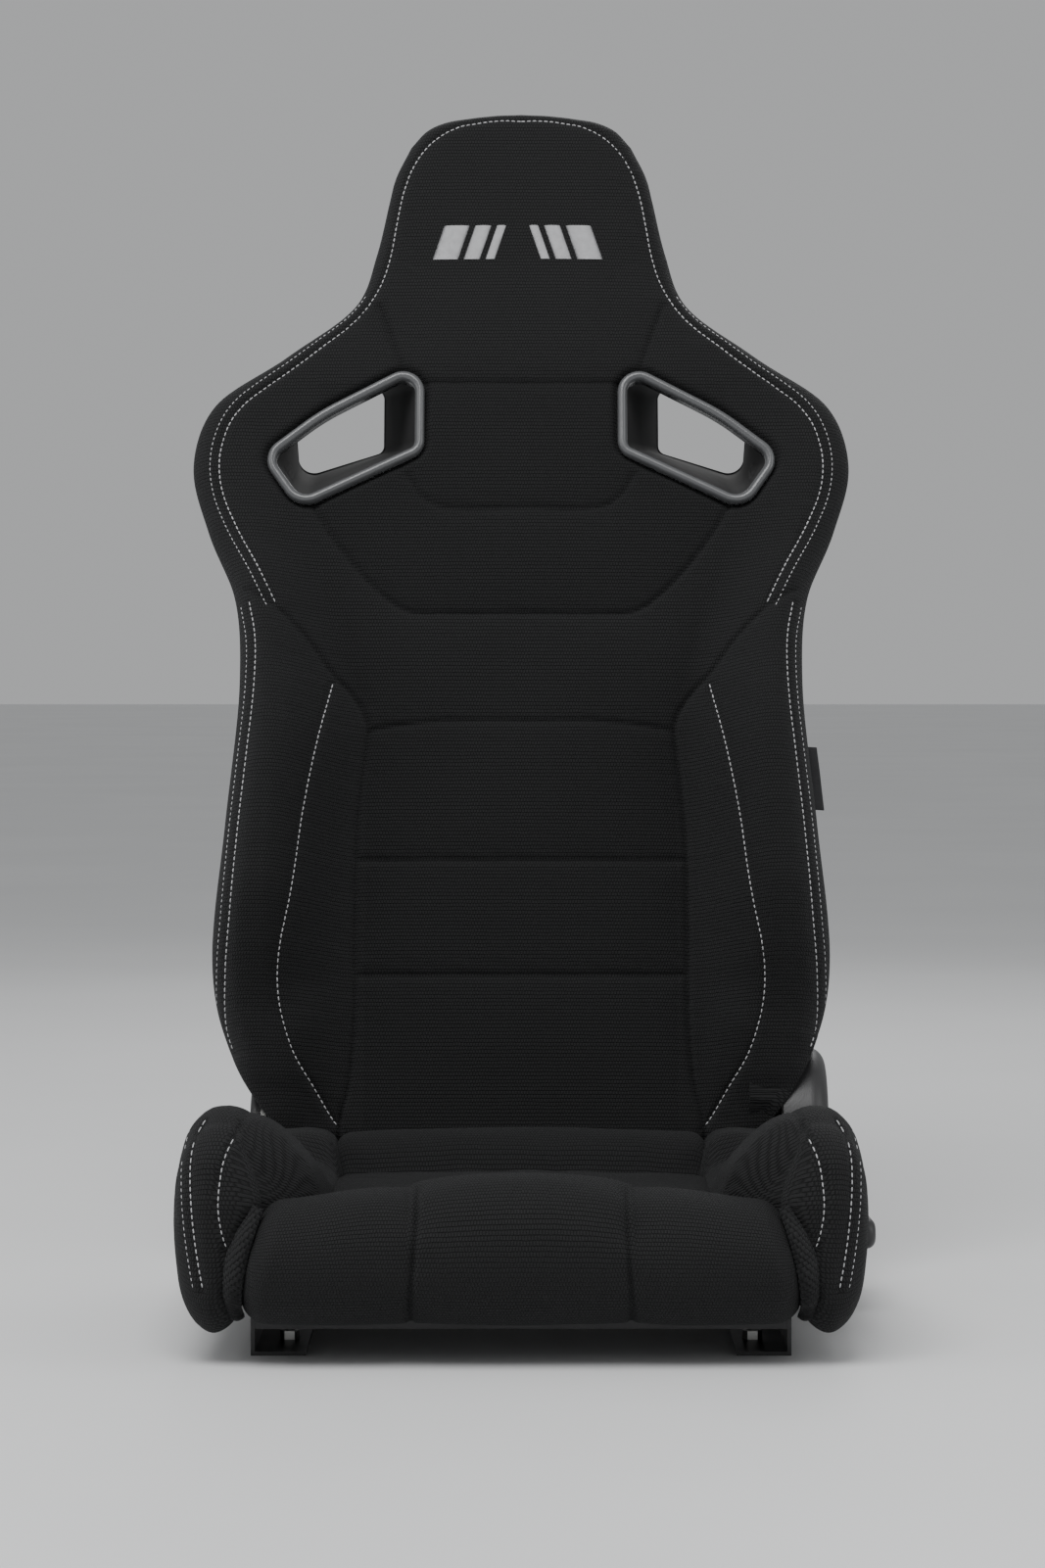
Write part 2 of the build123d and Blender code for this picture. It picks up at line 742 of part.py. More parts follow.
# ---------------------------------------------------------------- cushion
def seat_centre_pad():
    profile = [
        (ROLL_BACK_Y + 0.5, PAN_Z + 0.3),
        (ROLL_BACK_Y + 0.5, 106),
        (58, 103),
        (82, 121),
        (106, 127),
        (128, 122),
        (SEAT_REAR_Y, 100),
        (SEAT_REAR_Y, PAN_Z + 0.3),
    ]
    return side_extrude(make_face(Polyline(*profile, close=True)), -149.5, 149.5)


def thigh_roll_pad():
    front = Spline((-266, 30), (SEAT_FRONT_Y, 74), (-266, 121), (-232, 128), tangents=((-1, 0.3), (1, 0)))
    back = Polyline((-232, 128), (ROLL_BACK_Y, 122), (ROLL_BACK_Y, 30), (-266, 30))
    roll = side_extrude(make_face([front, *back.edges()]), -205.5, 205.5)
    hump_line = Spline((-277, 100), (-262, 131), (-234, 137), tangents=((0, 1), (1, 0)))
    hump_back = Polyline((-234, 137), (ROLL_BACK_Y, 128), (ROLL_BACK_Y, 100), (-277, 100))
    return roll + side_extrude(make_face([hump_line, *hump_back.edges()]), -84, 84)


def seat_bolster():
    section = [
        (206, 22),
        (240, 22),
        (252, 64),
        (SEAT_HALF, 120),
        (249, 165),
        (232, 182),
        (211, 178),
        (190, 152),
        (175, 128),
        (150, 106),
        (150, 98),
        (206, 98),
    ]
    plane = Plane(origin=(0, -272, 0), x_dir=(1, 0, 0), z_dir=(0, 1, 0))
    face = make_face(Polyline(*[(x, -z) for x, z in section], close=True))
    prism = extrude(plane * face, amount=SEAT_REAR_Y + 272)
    side = [
        (-262, 22),
        (-272, 64),
        (-270, 130),
        (-258, 160),
        (-236, 177),
        (-200, 182),
        (-150, 178),
        (-60, 164),
        (8, 150),
        (68, 130),
        (120, 126),
        (SEAT_REAR_Y, 100),
        (SEAT_REAR_Y, 22),
    ]
    prism &= side_extrude(make_face(Polyline(*side, close=True)), 100, 300)
    prism -= box_between((WEB_X - 1, 100, 0), (300, 200, 200))
    return prism - box_between((100, -300, 0), (206, ROLL_BACK_Y + 0.5, 129))


# ---------------------------------------------------------------- nodes
def node_shapes():
    side = side_member()
    base_plate = recliner_plate(BASE_PLATE_X, BASE_PLATE_T)
    guard_plate = recliner_plate(GUARD_X, GUARD_T)
    arm = recliner_arm()
    one_pawl = pawl()
    one_cam = cam()
    bolster = back_bolster()
    cushion_side = seat_bolster()
    bezel = harness_bezel()
    sleeve = harness_sleeve()
    rear = rear_bezel()
    pairs = {
        "side_member": side,
        "recliner_base_plate": base_plate,
        "recliner_guard_plate": guard_plate,
        "recliner_arm": arm,
        "lock_pawl": one_pawl,
        "back_bolster": bolster,
        "seat_bolster": cushion_side,
        "harness_bezel": bezel,
        "harness_sleeve": sleeve,
        "harness_rear_bezel": rear,
    }
    nodes = {}
    for name, shape in pairs.items():
        nodes[name + "_right"] = shape
        nodes[name + "_left"] = mirrored(shape)
    nodes["front_cross_tube"] = cross_tube(-185, 40)
    nodes["rear_cross_tube"] = cross_tube(148, 43)
    nodes["floor_weld_nuts"] = weld_nuts()
    nodes["front_pan"] = front_pan()
    nodes["seat_springs"] = seat_springs()
    nodes["seat_centre_pad"] = seat_centre_pad()
    nodes["thigh_roll_pad"] = thigh_roll_pad()
    nodes["recliner_spacers"] = plate_spacers()
    nodes["recliner_bolts"] = plate_bolts()
    nodes["pivot_bolts"] = pivot_bolts()
    nodes["pawl_pins"] = pawl_pins()
    nodes["recliner_cover_right"] = recliner_cover()
    nodes["recliner_cap_left"] = recliner_cap()
    nodes["cover_screws"] = cover_screws()
    nodes["recline_spring"] = recline_spring()
    nodes["pivot_bushes"] = pivot_bushes()
    nodes["arm_bolts"] = arm_bolts()
    nodes["spring_post"] = spring_post()
    nodes["cross_rod"] = cross_rod()
    nodes["release_cams"] = Compound(children=[one_cam, mirrored(one_cam)])
    nodes["lever_arm"] = lever_arm()
    nodes["lever_nut"] = lever_nut()
    nodes["lever_grip"] = lever_grip()
    nodes["back_frame_hoop"] = back_frame_hoop()
    nodes["back_cross_bars"] = back_cross_bars()
    nodes["back_springs"] = back_springs()
    nodes["back_centre_pad"] = back_centre_pad()
    nodes["shoulder_pad"] = shoulder_pad()
    nodes["back_shell"] = back_shell()
    nodes["shell_screws"] = shell_screws()
    nodes["side_tag"] = side_tag()
    return nodes


def main():
    os.makedirs("parts", exist_ok=True)
    for name, shape in node_shapes().items():
        export_step(shape, f"parts/{name}.step")


main()
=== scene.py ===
"""Looks of the reclining sports seat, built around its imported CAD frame.

Row frame in metres: +Z up, the seat faces -Y, +X is on the right as seen from the front.
Pieces of the backrest are made in its own frame (x across, u up the back, w towards the
occupant), in millimetres, and placed by one matrix.
"""
import json
import math

import bmesh
import bpy
import numpy as np
from mathutils import Matrix, Vector
from mathutils.bvhtree import BVHTree


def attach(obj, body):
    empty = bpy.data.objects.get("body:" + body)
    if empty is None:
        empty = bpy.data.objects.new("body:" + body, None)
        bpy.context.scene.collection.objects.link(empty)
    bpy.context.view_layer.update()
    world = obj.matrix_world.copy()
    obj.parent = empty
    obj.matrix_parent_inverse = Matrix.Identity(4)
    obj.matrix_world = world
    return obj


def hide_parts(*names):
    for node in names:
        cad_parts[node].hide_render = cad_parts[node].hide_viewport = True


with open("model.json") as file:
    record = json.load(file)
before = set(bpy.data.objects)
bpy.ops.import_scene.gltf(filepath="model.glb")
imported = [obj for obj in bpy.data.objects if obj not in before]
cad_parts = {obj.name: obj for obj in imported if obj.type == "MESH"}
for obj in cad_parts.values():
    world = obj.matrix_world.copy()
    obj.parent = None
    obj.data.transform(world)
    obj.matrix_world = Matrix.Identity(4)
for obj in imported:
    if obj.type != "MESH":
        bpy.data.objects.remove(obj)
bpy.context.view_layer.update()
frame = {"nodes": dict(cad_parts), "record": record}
MM = 0.001

# ---------------------------------------------------------------- camera, light and floor
CAMERA_PLACE = (0.0, -3.350, 0.5345)
LENS = 97.0
SENSOR = 36.0
SHIFT = (0.0009, -0.094)
LIGHTS = (
    # name, place, target, size, power
    ("key", (-0.5, -1.7, 2.9), (0, 0.05, 0.45), (2.2, 1.6), 95),
    ("side_left", (-2.4, -0.9, 1.3), (0, 0.1, 0.5), (1.2, 1.8), 16),
    ("side_right", (2.4, -0.9, 1.3), (0, 0.1, 0.5), (1.2, 1.8), 16),
    ("rear", (0.4, 2.6, 2.2), (0, 0.2, 0.5), (2.0, 1.4), 26),
)
SKY_COLOUR = (0.86, 0.87, 0.88, 1)
SKY_STRENGTH = 0.5


def placed(name, data):
    """A new object in the scene."""
    made = bpy.data.objects.new(name, data)
    bpy.context.scene.collection.objects.link(made)
    return made


def camera():
    data = bpy.data.cameras.new("camera")
    data.lens = LENS
    data.sensor_width = SENSOR
    data.shift_x, data.shift_y = SHIFT
    data.clip_end = 200.0
    made = placed("camera", data)
    made.location = CAMERA_PLACE
    made.rotation_euler = (math.radians(90), 0, 0)
    bpy.context.scene.camera = made


def area_light(name, place, target, size, power):
    data = bpy.data.lights.new(name, "AREA")
    data.shape = "RECTANGLE"
    data.size, data.size_y = size
    data.energy = power
    made = placed(name, data)
    made.location = place
    aim = Vector(target) - Vector(place)
    made.rotation_euler = aim.to_track_quat("-Z", "Y").to_euler()


def lights():
    for light in LIGHTS:
        area_light(*light)
    world = bpy.data.worlds.new("world")
    world.use_nodes = True
    back = world.node_tree.nodes["Background"]
    back.inputs["Color"].default_value = SKY_COLOUR
    back.inputs["Strength"].default_value = SKY_STRENGTH
    bpy.context.scene.world = world


# ---------------------------------------------------------------- node helpers
class Nodes:
    """Small wrapper that keeps material graphs short."""

    def __init__(self, name):
        self.material = bpy.data.materials.new(name)
        self.material.use_nodes = True
        self.tree = self.material.node_tree
        self.shader = self.tree.nodes["Principled BSDF"]

    def add(self, kind, values=None, **settings):
        node = self.tree.nodes.new("ShaderNode" + kind)
        for key, value in settings.items():
            setattr(node, key, value)
        for key, value in (values or {}).items():
            self.put(node.inputs[key], value)
        return node

    def put(self, socket, value):
        if isinstance(value, bpy.types.NodeSocket):
            self.tree.links.new(value, socket)
        else:
            socket.default_value = value

    def math(self, operation, *values, clamp=False):
        node = self.add("Math", operation=operation, use_clamp=clamp)
        for i, value in enumerate(values):
            self.put(node.inputs[i], value)
        return node.outputs[0]

    def place(self):
        return self.add("TexCoord").outputs["Object"]

    def toned(self, tone, shade):
        """A fixed colour, lightened or darkened by a shade."""
        node = self.add("VectorMath", operation="SCALE")
        node.inputs[0].default_value = tone
        self.put(node.inputs["Scale"], shade)
        return node.outputs[0]

    def line(self, value, slope, offset):
        """value * slope + offset"""
        return self.math("MULTIPLY_ADD", value, slope, offset)

    def scaled(self, vector, scale):
        node = self.add("VectorMath", operation="MULTIPLY")
        self.put(node.inputs[0], vector)
        self.put(node.inputs[1], scale)
        return node.outputs[0]

    def noise(self, vector, scale, detail=3.0, roughness=0.55):
        values = {"Vector": vector, "Scale": scale, "Detail": detail, "Roughness": roughness}
        return self.add("TexNoise", values).outputs["Fac"]

    def ramp(self, value, *stops):
        node = self.add("ValToRGB", {"Fac": value})
        ramp = node.color_ramp
        while len(ramp.elements) < len(stops):
            ramp.elements.new(0.5)
        for element, (place, tone) in zip(ramp.elements, stops):
            element.position = place
            element.color = (*tone, 1) if isinstance(tone, tuple) else (tone, tone, tone, 1)
        return node.outputs["Color"]

    def bump(self, height, distance, strength=1.0, under=None):
        node = self.add("Bump", {"Height": height, "Distance": distance, "Strength": strength})
        if under is not None:
            self.put(node.inputs["Normal"], under)
        return node.outputs["Normal"]

    def finish(self, **values):
        for key, value in values.items():
            self.put(self.shader.inputs[key.replace("_", " ")], value)
        return self.material


# Weave of the knit: a brick-like grid of loops, in metres
LOOP_WIDTH = 0.0024
ROW_PITCH = 0.0031


def knit(name, tone, sheen, loop=(LOOP_WIDTH, ROW_PITCH), depth=0.0006, wear=0.25):
    """Ribbed knit. The per-point attribute "cloth" runs across and along the cloth, in metres."""
    n = Nodes(name)
    cloth = n.add("Attribute", attribute_name="cloth").outputs["Vector"]
    place = n.place()
    swirl = n.add("TexNoise", {"Vector": place, "Scale": 90.0, "Detail": 2.0}).outputs["Color"]
    wobble = n.scaled(swirl, (0.0012, 0.0012, 0.0))
    warped = n.add("VectorMath", operation="ADD")
    n.put(warped.inputs[0], cloth)
    n.put(warped.inputs[1], wobble)
    weave = n.add(
        "TexBrick",
        {"Vector": warped.outputs[0], "Scale": 1.0, "Mortar Size": loop[1] * 0.22, "Mortar Smooth": 1.0,
         "Bias": 0.0, "Brick Width": loop[0], "Row Height": loop[1],
         "Color1": (1, 1, 1, 1), "Color2": (0.8, 0.8, 0.8, 1), "Mortar": (0, 0, 0, 1)},
        offset=0.5, offset_frequency=2,
    )
    raised = n.math("SUBTRACT", 1.0, weave.outputs["Fac"])
    fuzz = n.noise(place, 1400.0, 2.0)
    cloud = n.noise(place, 7.0, 4.0)
    streak = n.noise(n.scaled(cloth, (30.0, 420.0, 1.0)), 1.0, 2.0)
    height = n.math("ADD", n.math("MULTIPLY", raised, 0.75), n.math("MULTIPLY", fuzz, 0.35))
    shade = n.line(raised, 0.62, 0.42)
    shade = n.math("MULTIPLY", shade, n.line(fuzz, 0.5, 0.75))
    shade = n.math("MULTIPLY", shade, n.line(cloud, wear * 2, 1 - wear))
    shade = n.math("MULTIPLY", shade, n.line(streak, 0.36, 0.82))
    colour = n.toned(tone, shade)
    n.finish(
        Base_Color=colour,
        Roughness=n.line(raised, -0.12, 0.93),
        Normal=n.bump(height, depth),
        Sheen_Weight=sheen,
        Sheen_Roughness=0.45,
        Sheen_Tint=(0.8, 0.82, 0.85, 1),
    )
    n.shader.inputs["Specular IOR Level"].default_value = 0.25
    return n.material


def thread(name, tone):
    """Thread with a fine twist, slightly uneven in tone."""
    n = Nodes(name)
    place = n.place()
    twist = n.noise(place, 2600.0, 2.0)
    tint = n.noise(place, 160.0, 2.0)
    tint = n.line(tint, 0.5, 0.76)
    shade = n.math("MULTIPLY", n.line(twist, 0.7, 0.62), tint)
    colour = n.toned(tone, shade)
    return n.finish(
        Base_Color=colour,
        Roughness=0.5,
        Normal=n.bump(twist, 0.0002),
        Sheen_Weight=0.4,
    )


def moulded(name, tone, rough, grain, depth=0.00012, mottled=0.12):
    """Moulded plastic with a fine leather-like grain."""
    n = Nodes(name)
    place = n.place()
    cells = n.add("TexVoronoi", {"Vector": place, "Scale": grain, "Randomness": 1.0}, feature="SMOOTH_F1")
    cloud = n.noise(place, 11.0, 4.0)
    fine = n.noise(place, grain * 3, 2.0)
    shade = n.line(cloud, mottled * 2, 1 - mottled)
    colour = n.toned(tone, shade)
    height = n.math("ADD", cells.outputs["Distance"], n.math("MULTIPLY", fine, 0.4))
    rubbed = n.line(n.noise(place, 28.0, 5.0), 0.16, rough - 0.08)
    return n.finish(Base_Color=colour, Roughness=rubbed, Normal=n.bump(height, depth))


def painted_steel(name, tone, rough):
    """Powder coat: orange-peel bump, slightly rubbed."""
    n = Nodes(name)
    place = n.place()
    peel = n.noise(place, 620.0, 2.0)
    cloud = n.noise(place, 9.0, 4.0)
    colour = n.toned(tone, n.line(cloud, 0.4, 0.8))
    worn = n.line(n.noise(place, 34.0, 5.0), 0.2, rough - 0.1)
    return n.finish(Base_Color=colour, Roughness=worn, Normal=n.bump(peel, 0.00018),
                    Coat_Weight=0.15, Coat_Roughness=0.35)


def metal(name, tone, rough, stretch=(1.0, 1.0, 1.0), blotch=0.25):
    """Bare or plated metal with drawn or tumbled marks and faint stains."""
    n = Nodes(name)
    place = n.place()
    marks = n.noise(n.scaled(place, stretch), 500.0, 3.0)
    stain = n.noise(place, 38.0, 5.0, 0.65)
    colour = n.toned(tone, n.line(stain, blotch * 2, 1 - blotch))
    worn = n.line(stain, 0.24, rough - 0.12)
    worn = n.math("ADD", worn, n.math("MULTIPLY", marks, 0.06))
    return n.finish(Base_Color=colour, Metallic=1.0, Roughness=worn, Normal=n.bump(marks, 0.00006))


def floor_paint():
    """Pale matt floor with faint clouds."""
    n = Nodes("floor_pale")
    place = n.place()
    cloud = n.noise(place, 1.3, 4.0)
    grain = n.noise(place, 160.0, 3.0)
    colour = n.ramp(cloud, (0.3, (0.66, 0.665, 0.67)), (0.7, (0.7, 0.705, 0.71)))
    return n.finish(Base_Color=colour, Roughness=0.6, Normal=n.bump(grain, 0.0002, 0.3))


FLOOR_HALF = 30.0


def floor():
    side = FLOOR_HALF
    mesh = bpy.data.meshes.new("floor")
    corners = [(-side, -side, 0), (side, -side, 0), (side, side, 0), (-side, side, 0)]
    mesh.from_pydata(corners, [], [(0, 1, 2, 3)])
    mesh.materials.append(floor_paint())
    placed("floor", mesh)


camera()
lights()
floor()

RIB_KNIT = knit("knit_ribbed", (0.0085, 0.0087, 0.0091), 0.04, depth=0.0009)
MESH_KNIT = knit("knit_open_mesh", (0.0072, 0.0074, 0.0078), 0.035, depth=0.0011)
SEAT_KNIT = knit("knit_seat", (0.01, 0.0102, 0.0106), 0.04, depth=0.0012)
SILVER_THREAD = thread("thread_silver", (0.42, 0.42, 0.43))
BEZEL_PLASTIC = moulded("bezel_satin", (0.085, 0.087, 0.09), 0.25, 900.0, 0.00005)
SLEEVE_PLASTIC = moulded("sleeve_satin", (0.005, 0.005, 0.0055), 0.8, 900.0, 0.00006)
EMBROIDERY = thread("thread_embroidery", (0.36, 0.36, 0.37))
SHELL_PLASTIC = moulded("shell_grained", (0.020, 0.020, 0.021), 0.55, 700.0, 0.0002)
COVER_PLASTIC = moulded("cover_grained", (0.022, 0.022, 0.023), 0.42, 900.0, 0.0001)
FRAME_PAINT = painted_steel("frame_powder_coat", (0.018, 0.018, 0.019), 0.46)
ZINC = metal("zinc_plated", (0.62, 0.62, 0.6), 0.34)
SPRING = metal("spring_dark", (0.2, 0.19, 0.18), 0.42)
BRONZE = metal("bronze_bush", (0.55, 0.36, 0.17), 0.35)
TAG_CLOTH = knit("tag_woven", (0.03, 0.03, 0.032), 0.05, loop=(0.0008, 0.0008), depth=0.0002)

# ---------------------------------------------------------------- geometry helpers
TILT = math.radians(14.0)
PIVOT = Vector((0.0, 0.205, 0.118))
BACK = Matrix((
    (1, 0, 0, PIVOT.x),
    (0, math.sin(TILT), -math.cos(TILT), PIVOT.y),
    (0, math.cos(TILT), math.sin(TILT), PIVOT.z),
    (0, 0, 0, 1),
))


def write_cloth(mesh, cloth):
    """Places on the cloth, in millimetres, for the knit materials."""
    attribute = mesh.attributes.new("cloth", "FLOAT_VECTOR", "POINT")
    attribute.data.foreach_set("vector", (np.asarray(cloth, np.float32) * MM).ravel())


def make_object(name, points, faces, materials, matrix=None, face_material=None, cloth=None):
    """A smooth-shaded object from points in millimetres."""
    mesh = bpy.data.meshes.new(name)
    mesh.from_pydata((np.asarray(points, float) * MM).tolist(), [], [tuple(int(i) for i in f) for f in faces])
    for material in materials:
        mesh.materials.append(material)
    if face_material is not None:
        mesh.polygons.foreach_set("material_index", np.asarray(face_material, np.int32))
    mesh.polygons.foreach_set("use_smooth", np.ones(len(mesh.polygons), bool))
    if cloth is not None:
        write_cloth(mesh, cloth)
    if matrix is not None:
        mesh.transform(matrix)
    mesh.update()
    return placed(name, mesh)


def blend(t, start, end, here, there):
    """Straight blend of two points, as t goes from start to end."""
    return (end - t) / (end - start) * here + (t - start) / (end - start) * there


def outline_through(points, steps=12):
    """Smooth open line through points: centripetal Catmull-Rom."""
    p = [np.array(q, float) for q in points]
    p = [2 * p[0] - p[1], *p, 2 * p[-1] - p[-2]]
    line = []
    for i in range(1, len(p) - 2):
        a, b, c, d = p[i - 1:i + 3]
        t0 = 0.0
        t1 = t0 + math.sqrt(np.linalg.norm(b - a))
        t2 = t1 + math.sqrt(np.linalg.norm(c - b))
        t3 = t2 + math.sqrt(np.linalg.norm(d - c))
        for k in range(steps):
            t = t1 + (t2 - t1) * k / steps
            e, f, g = blend(t, t0, t1, a, b), blend(t, t1, t2, b, c), blend(t, t2, t3, c, d)
            line.append(blend(t, t1, t2, blend(t, t0, t2, e, f), blend(t, t1, t3, f, g)))
    line.append(p[-2])
    return np.array(line)


def distance_to(points, line):
    """Distance from each 2-D point to a polyline."""
    a = line[:-1]
    ab = line[1:] - a
    size = np.maximum((ab ** 2).sum(1), 1e-9)
    best = np.full(len(points), 1e9)
    for start, run, length in zip(a, ab, size):
        rel = points - start
        t = np.clip((rel @ run) / length, 0, 1)
        gap = rel - t[:, None] * run
        best = np.minimum(best, (gap ** 2).sum(1))
    return np.sqrt(best)


def inside(points, polygon):
    """Which 2-D points are inside a closed polygon."""
    x, y = points[:, 0], points[:, 1]
    hit = np.zeros(len(points), bool)
    for (x0, y0), (x1, y1) in zip(polygon, np.roll(polygon, -1, axis=0)):
        crosses = (y0 > y) != (y1 > y)
        span = y1 - y0 if abs(y1 - y0) > 1e-12 else 1e-12
        hit ^= crosses & (x < (x1 - x0) * (y - y0) / span + x0)
    return hit


def smoothstep(x, low, high):
    """0 below low, 1 above high, and an even rise between."""
    t = np.clip((x - low) / (high - low), 0, 1)
    return t * t * (3 - 2 * t)


def table(value, pairs):
    """Smooth (monotone cubic) interpolation of (place, value) pairs."""
    xs = np.array([a for a, _ in pairs], float)
    ys = np.array([b for _, b in pairs], float)
    step = np.diff(xs)
    slope = np.diff(ys) / step
    tangent = np.zeros(len(xs))
    tangent[0], tangent[-1] = slope[0], slope[-1]
    for i in range(1, len(xs) - 1):
        if slope[i - 1] * slope[i] > 0:
            tangent[i] = 2 / (1 / slope[i - 1] + 1 / slope[i])
    v = np.clip(np.asarray(value, float), xs[0], xs[-1])
    k = np.clip(np.searchsorted(xs, v, side="right") - 1, 0, len(xs) - 2)
    h = step[k]
    t = (v - xs[k]) / h
    t2, t3 = t * t, t * t * t
    return ((2 * t3 - 3 * t2 + 1) * ys[k] + (t3 - 2 * t2 + t) * h * tangent[k]
            + (-2 * t3 + 3 * t2) * ys[k + 1] + (t3 - t2) * h * tangent[k + 1])


def numbered(rows, columns):
    """Point numbers of a grid."""
    return np.arange(rows * columns).reshape(rows, columns)


def grid_faces(index, turned=False):
    """Quads of an open grid, or the same with the other side up."""
    corners = [index[:-1, :-1], index[:-1, 1:], index[1:, 1:], index[1:, :-1]]
    quads = np.stack(corners, -1).reshape(-1, 4)
    return quads[:, [0, 3, 2, 1]] if turned else quads


def grid_border(index):
    """Point numbers once round the rim of a grid."""
    return np.concatenate([index[0, :], index[1:, -1], index[-1, -2::-1], index[-2:0:-1, 0]])


def tube_faces(index):
    """Quads of a grid whose rows are closed rings."""
    after = np.roll(index, -1, axis=1)
    return np.stack([index[:-1], index[1:], after[1:], after[:-1]], -1).reshape(-1, 4)


def strip_between(above, below):
    """Quads between two closed rings of point numbers."""
    return np.stack([above, np.roll(above, -1), np.roll(below, -1), below], 1)


def skirt_faces(loop, first, rings):
    """Quads of a number of rings, numbered from first, that hang from the rim loop."""
    numbers = [loop, *(first + numbered(rings, len(loop)))]
    return np.vstack([strip_between(above, below) for above, below in zip(numbers[:-1], numbers[1:])])


def endless_faces(rings, count):
    """Quads of rings that close on themselves and on each other."""
    index = numbered(rings, count)
    return np.vstack([strip_between(here, there) for here, there in zip(index, np.roll(index, -1, axis=0))])


def length_along(line):
    """Distance of each point of a line from its start."""
    return np.concatenate([[0], np.cumsum(np.linalg.norm(np.diff(line, axis=0), axis=1))])


def inward_of(line):
    """Unit vectors to the left of a closed 2-D line."""
    ahead = np.roll(line, -1, axis=0) - np.roll(line, 1, axis=0)
    ahead /= np.maximum(np.linalg.norm(ahead, axis=1), 1e-6)[:, None]
    return np.stack([-ahead[:, 1], ahead[:, 0]], 1)


def quarter_round(share):
    """Height of a quarter circle, from 0 at its foot to 1 at its top."""
    return np.sqrt(np.clip(1 - (1 - share) ** 2, 0, 1))


def bell(gap, width):
    return np.exp(-(gap / width) ** 2)


def rounded_span(half, radius, count):
    """Places across a piece, closer together towards its two rounded ends."""
    end = radius * (1 - np.cos(np.radians(np.arange(0, 90, 9))))
    flat = np.linspace(-half + radius, half - radius, count)
    return np.concatenate([-half + end, flat, (half - end)[::-1]])


# ---------------------------------------------------------------- backrest cover
# Outline of the right half, (x, u), from the bottom up to the head's shoulder and over the crown
EDGE = (
    (188, -22), (206, 0), (217, 14), (233, 39), (246, 69), (255, 99), (258.5, 140), (249, 249), (239, 372),
    (245, 450), (270, 514), (284, 572), (268, 624), (204, 672), (144, 721), (127, 769), (116, 819),
    (111, 840), (98, 868),
)
CROWN = ((0, 900), (24, 899), (48, 896), (68, 892), (84, 884), (98, 868))
CROWN_FROM = 760.0
TOP_V = 868.0
BOTTOM_V = -22.0
BACK_W = -18.0

# Over the height u: w of the middle, the bolster crests and the lower corners, the x where the slope to
# a crest starts and ends, and the radius of the rim
BASE_W = ((-24, 45), (25, 46), (200, 46), (341, 47), (420, 52), (506, 57), (640, 59), (705, 53), (760, 47),
          (868, 43), (900, 41))
CREST_W = ((-24, 44), (2, 46), (30, 57), (75, 74), (112, 91), (150, 108), (200, 120), (300, 121), (400, 107),
           (470, 88), (506, 75), (560, 66), (620, 62), (700, 53))
CORNER_W = ((-24, 50), (0, 63), (25, 68), (39, 73), (60, 77), (75, 80), (95, 85), (112, 91))
SLOPE_IN = ((-24, 146), (28, 142), (83, 138), (247, 137), (336, 131), (400, 142), (450, 158), (506, 178),
            (600, 200))
SLOPE_OUT = ((-24, 176), (28, 196), (83, 212), (140, 216), (300, 212), (400, 226), (506, 244), (600, 262))
EDGE_R = ((-24, 18), (75, 22), (140, 30), (400, 30), (572, 30), (640, 24), (700, 18), (900, 17))

# Seams, right half, as (x, u)
HEAD_SEAM = ((0, 888), (22, 888), (57, 881), (80, 865), (94, 845), (103, 820), (109, 789), (114, 760),
             (121, 736), (133, 713), (147, 696), (173, 674), (198, 654), (222, 636), (240, 620), (252, 601),
             (259, 574), (257, 545), (244, 510), (224, 471), (207, 435))
NECK_SEAM = ((123, 714), (112, 682), (103, 655))
CROSS_SEAM = ((0, 640), (85, 640))
YOKE_SEAM = ((97, 559), (86, 541), (71, 530), (0, 528))
CHEST_SEAM = ((177, 529), (166, 509), (138, 472), (115, 449), (100, 439), (85, 436), (0, 436))
PANEL_SEAM = ((232, 450), (206, 432), (182, 409), (162, 383), (144, 365), (133, 348), (129, 333))
INSERT_TOP = ((130, 335), (100, 340), (62, 343), (0, 343))
INSERT_SIDE = ((130, 336), (133, 307), (139, 247), (140, 157), (140, 83), (145, 28), (151, 5), (152, -14))
INSERT_CROSS = (((0, 223), (139, 223)), ((0, 125), (140, 125)))
FOLD_SEAM = ((160, 373), (171, 322), (182, 259), (191, 188), (200, 141), (202, 115), (199, 89), (188, 55),
             (172, 29), (156, 3), (150, -4))
OUTER_SEAM = ((230, 438), (224, 404), (224, 358), (229, 301), (235, 241), (241, 167), (245, 123), (245, 79),
              (238, 56))
DOUBLE_GAP = 8.0

# Harness openings, right side, as (x, u), and the radius of each corner
TUNNEL_FRONT = ((91, 583), (91, 650), (170, 608), (215, 573), (189, 536))
TUNNEL_REAR = ((122, 612), (122, 678), (166, 660), (200, 634), (196, 588))
CORNER_RADII = (8.0, 11.0, 190.0, 12.0, 14.0)
BEZEL_BAND = 7.6


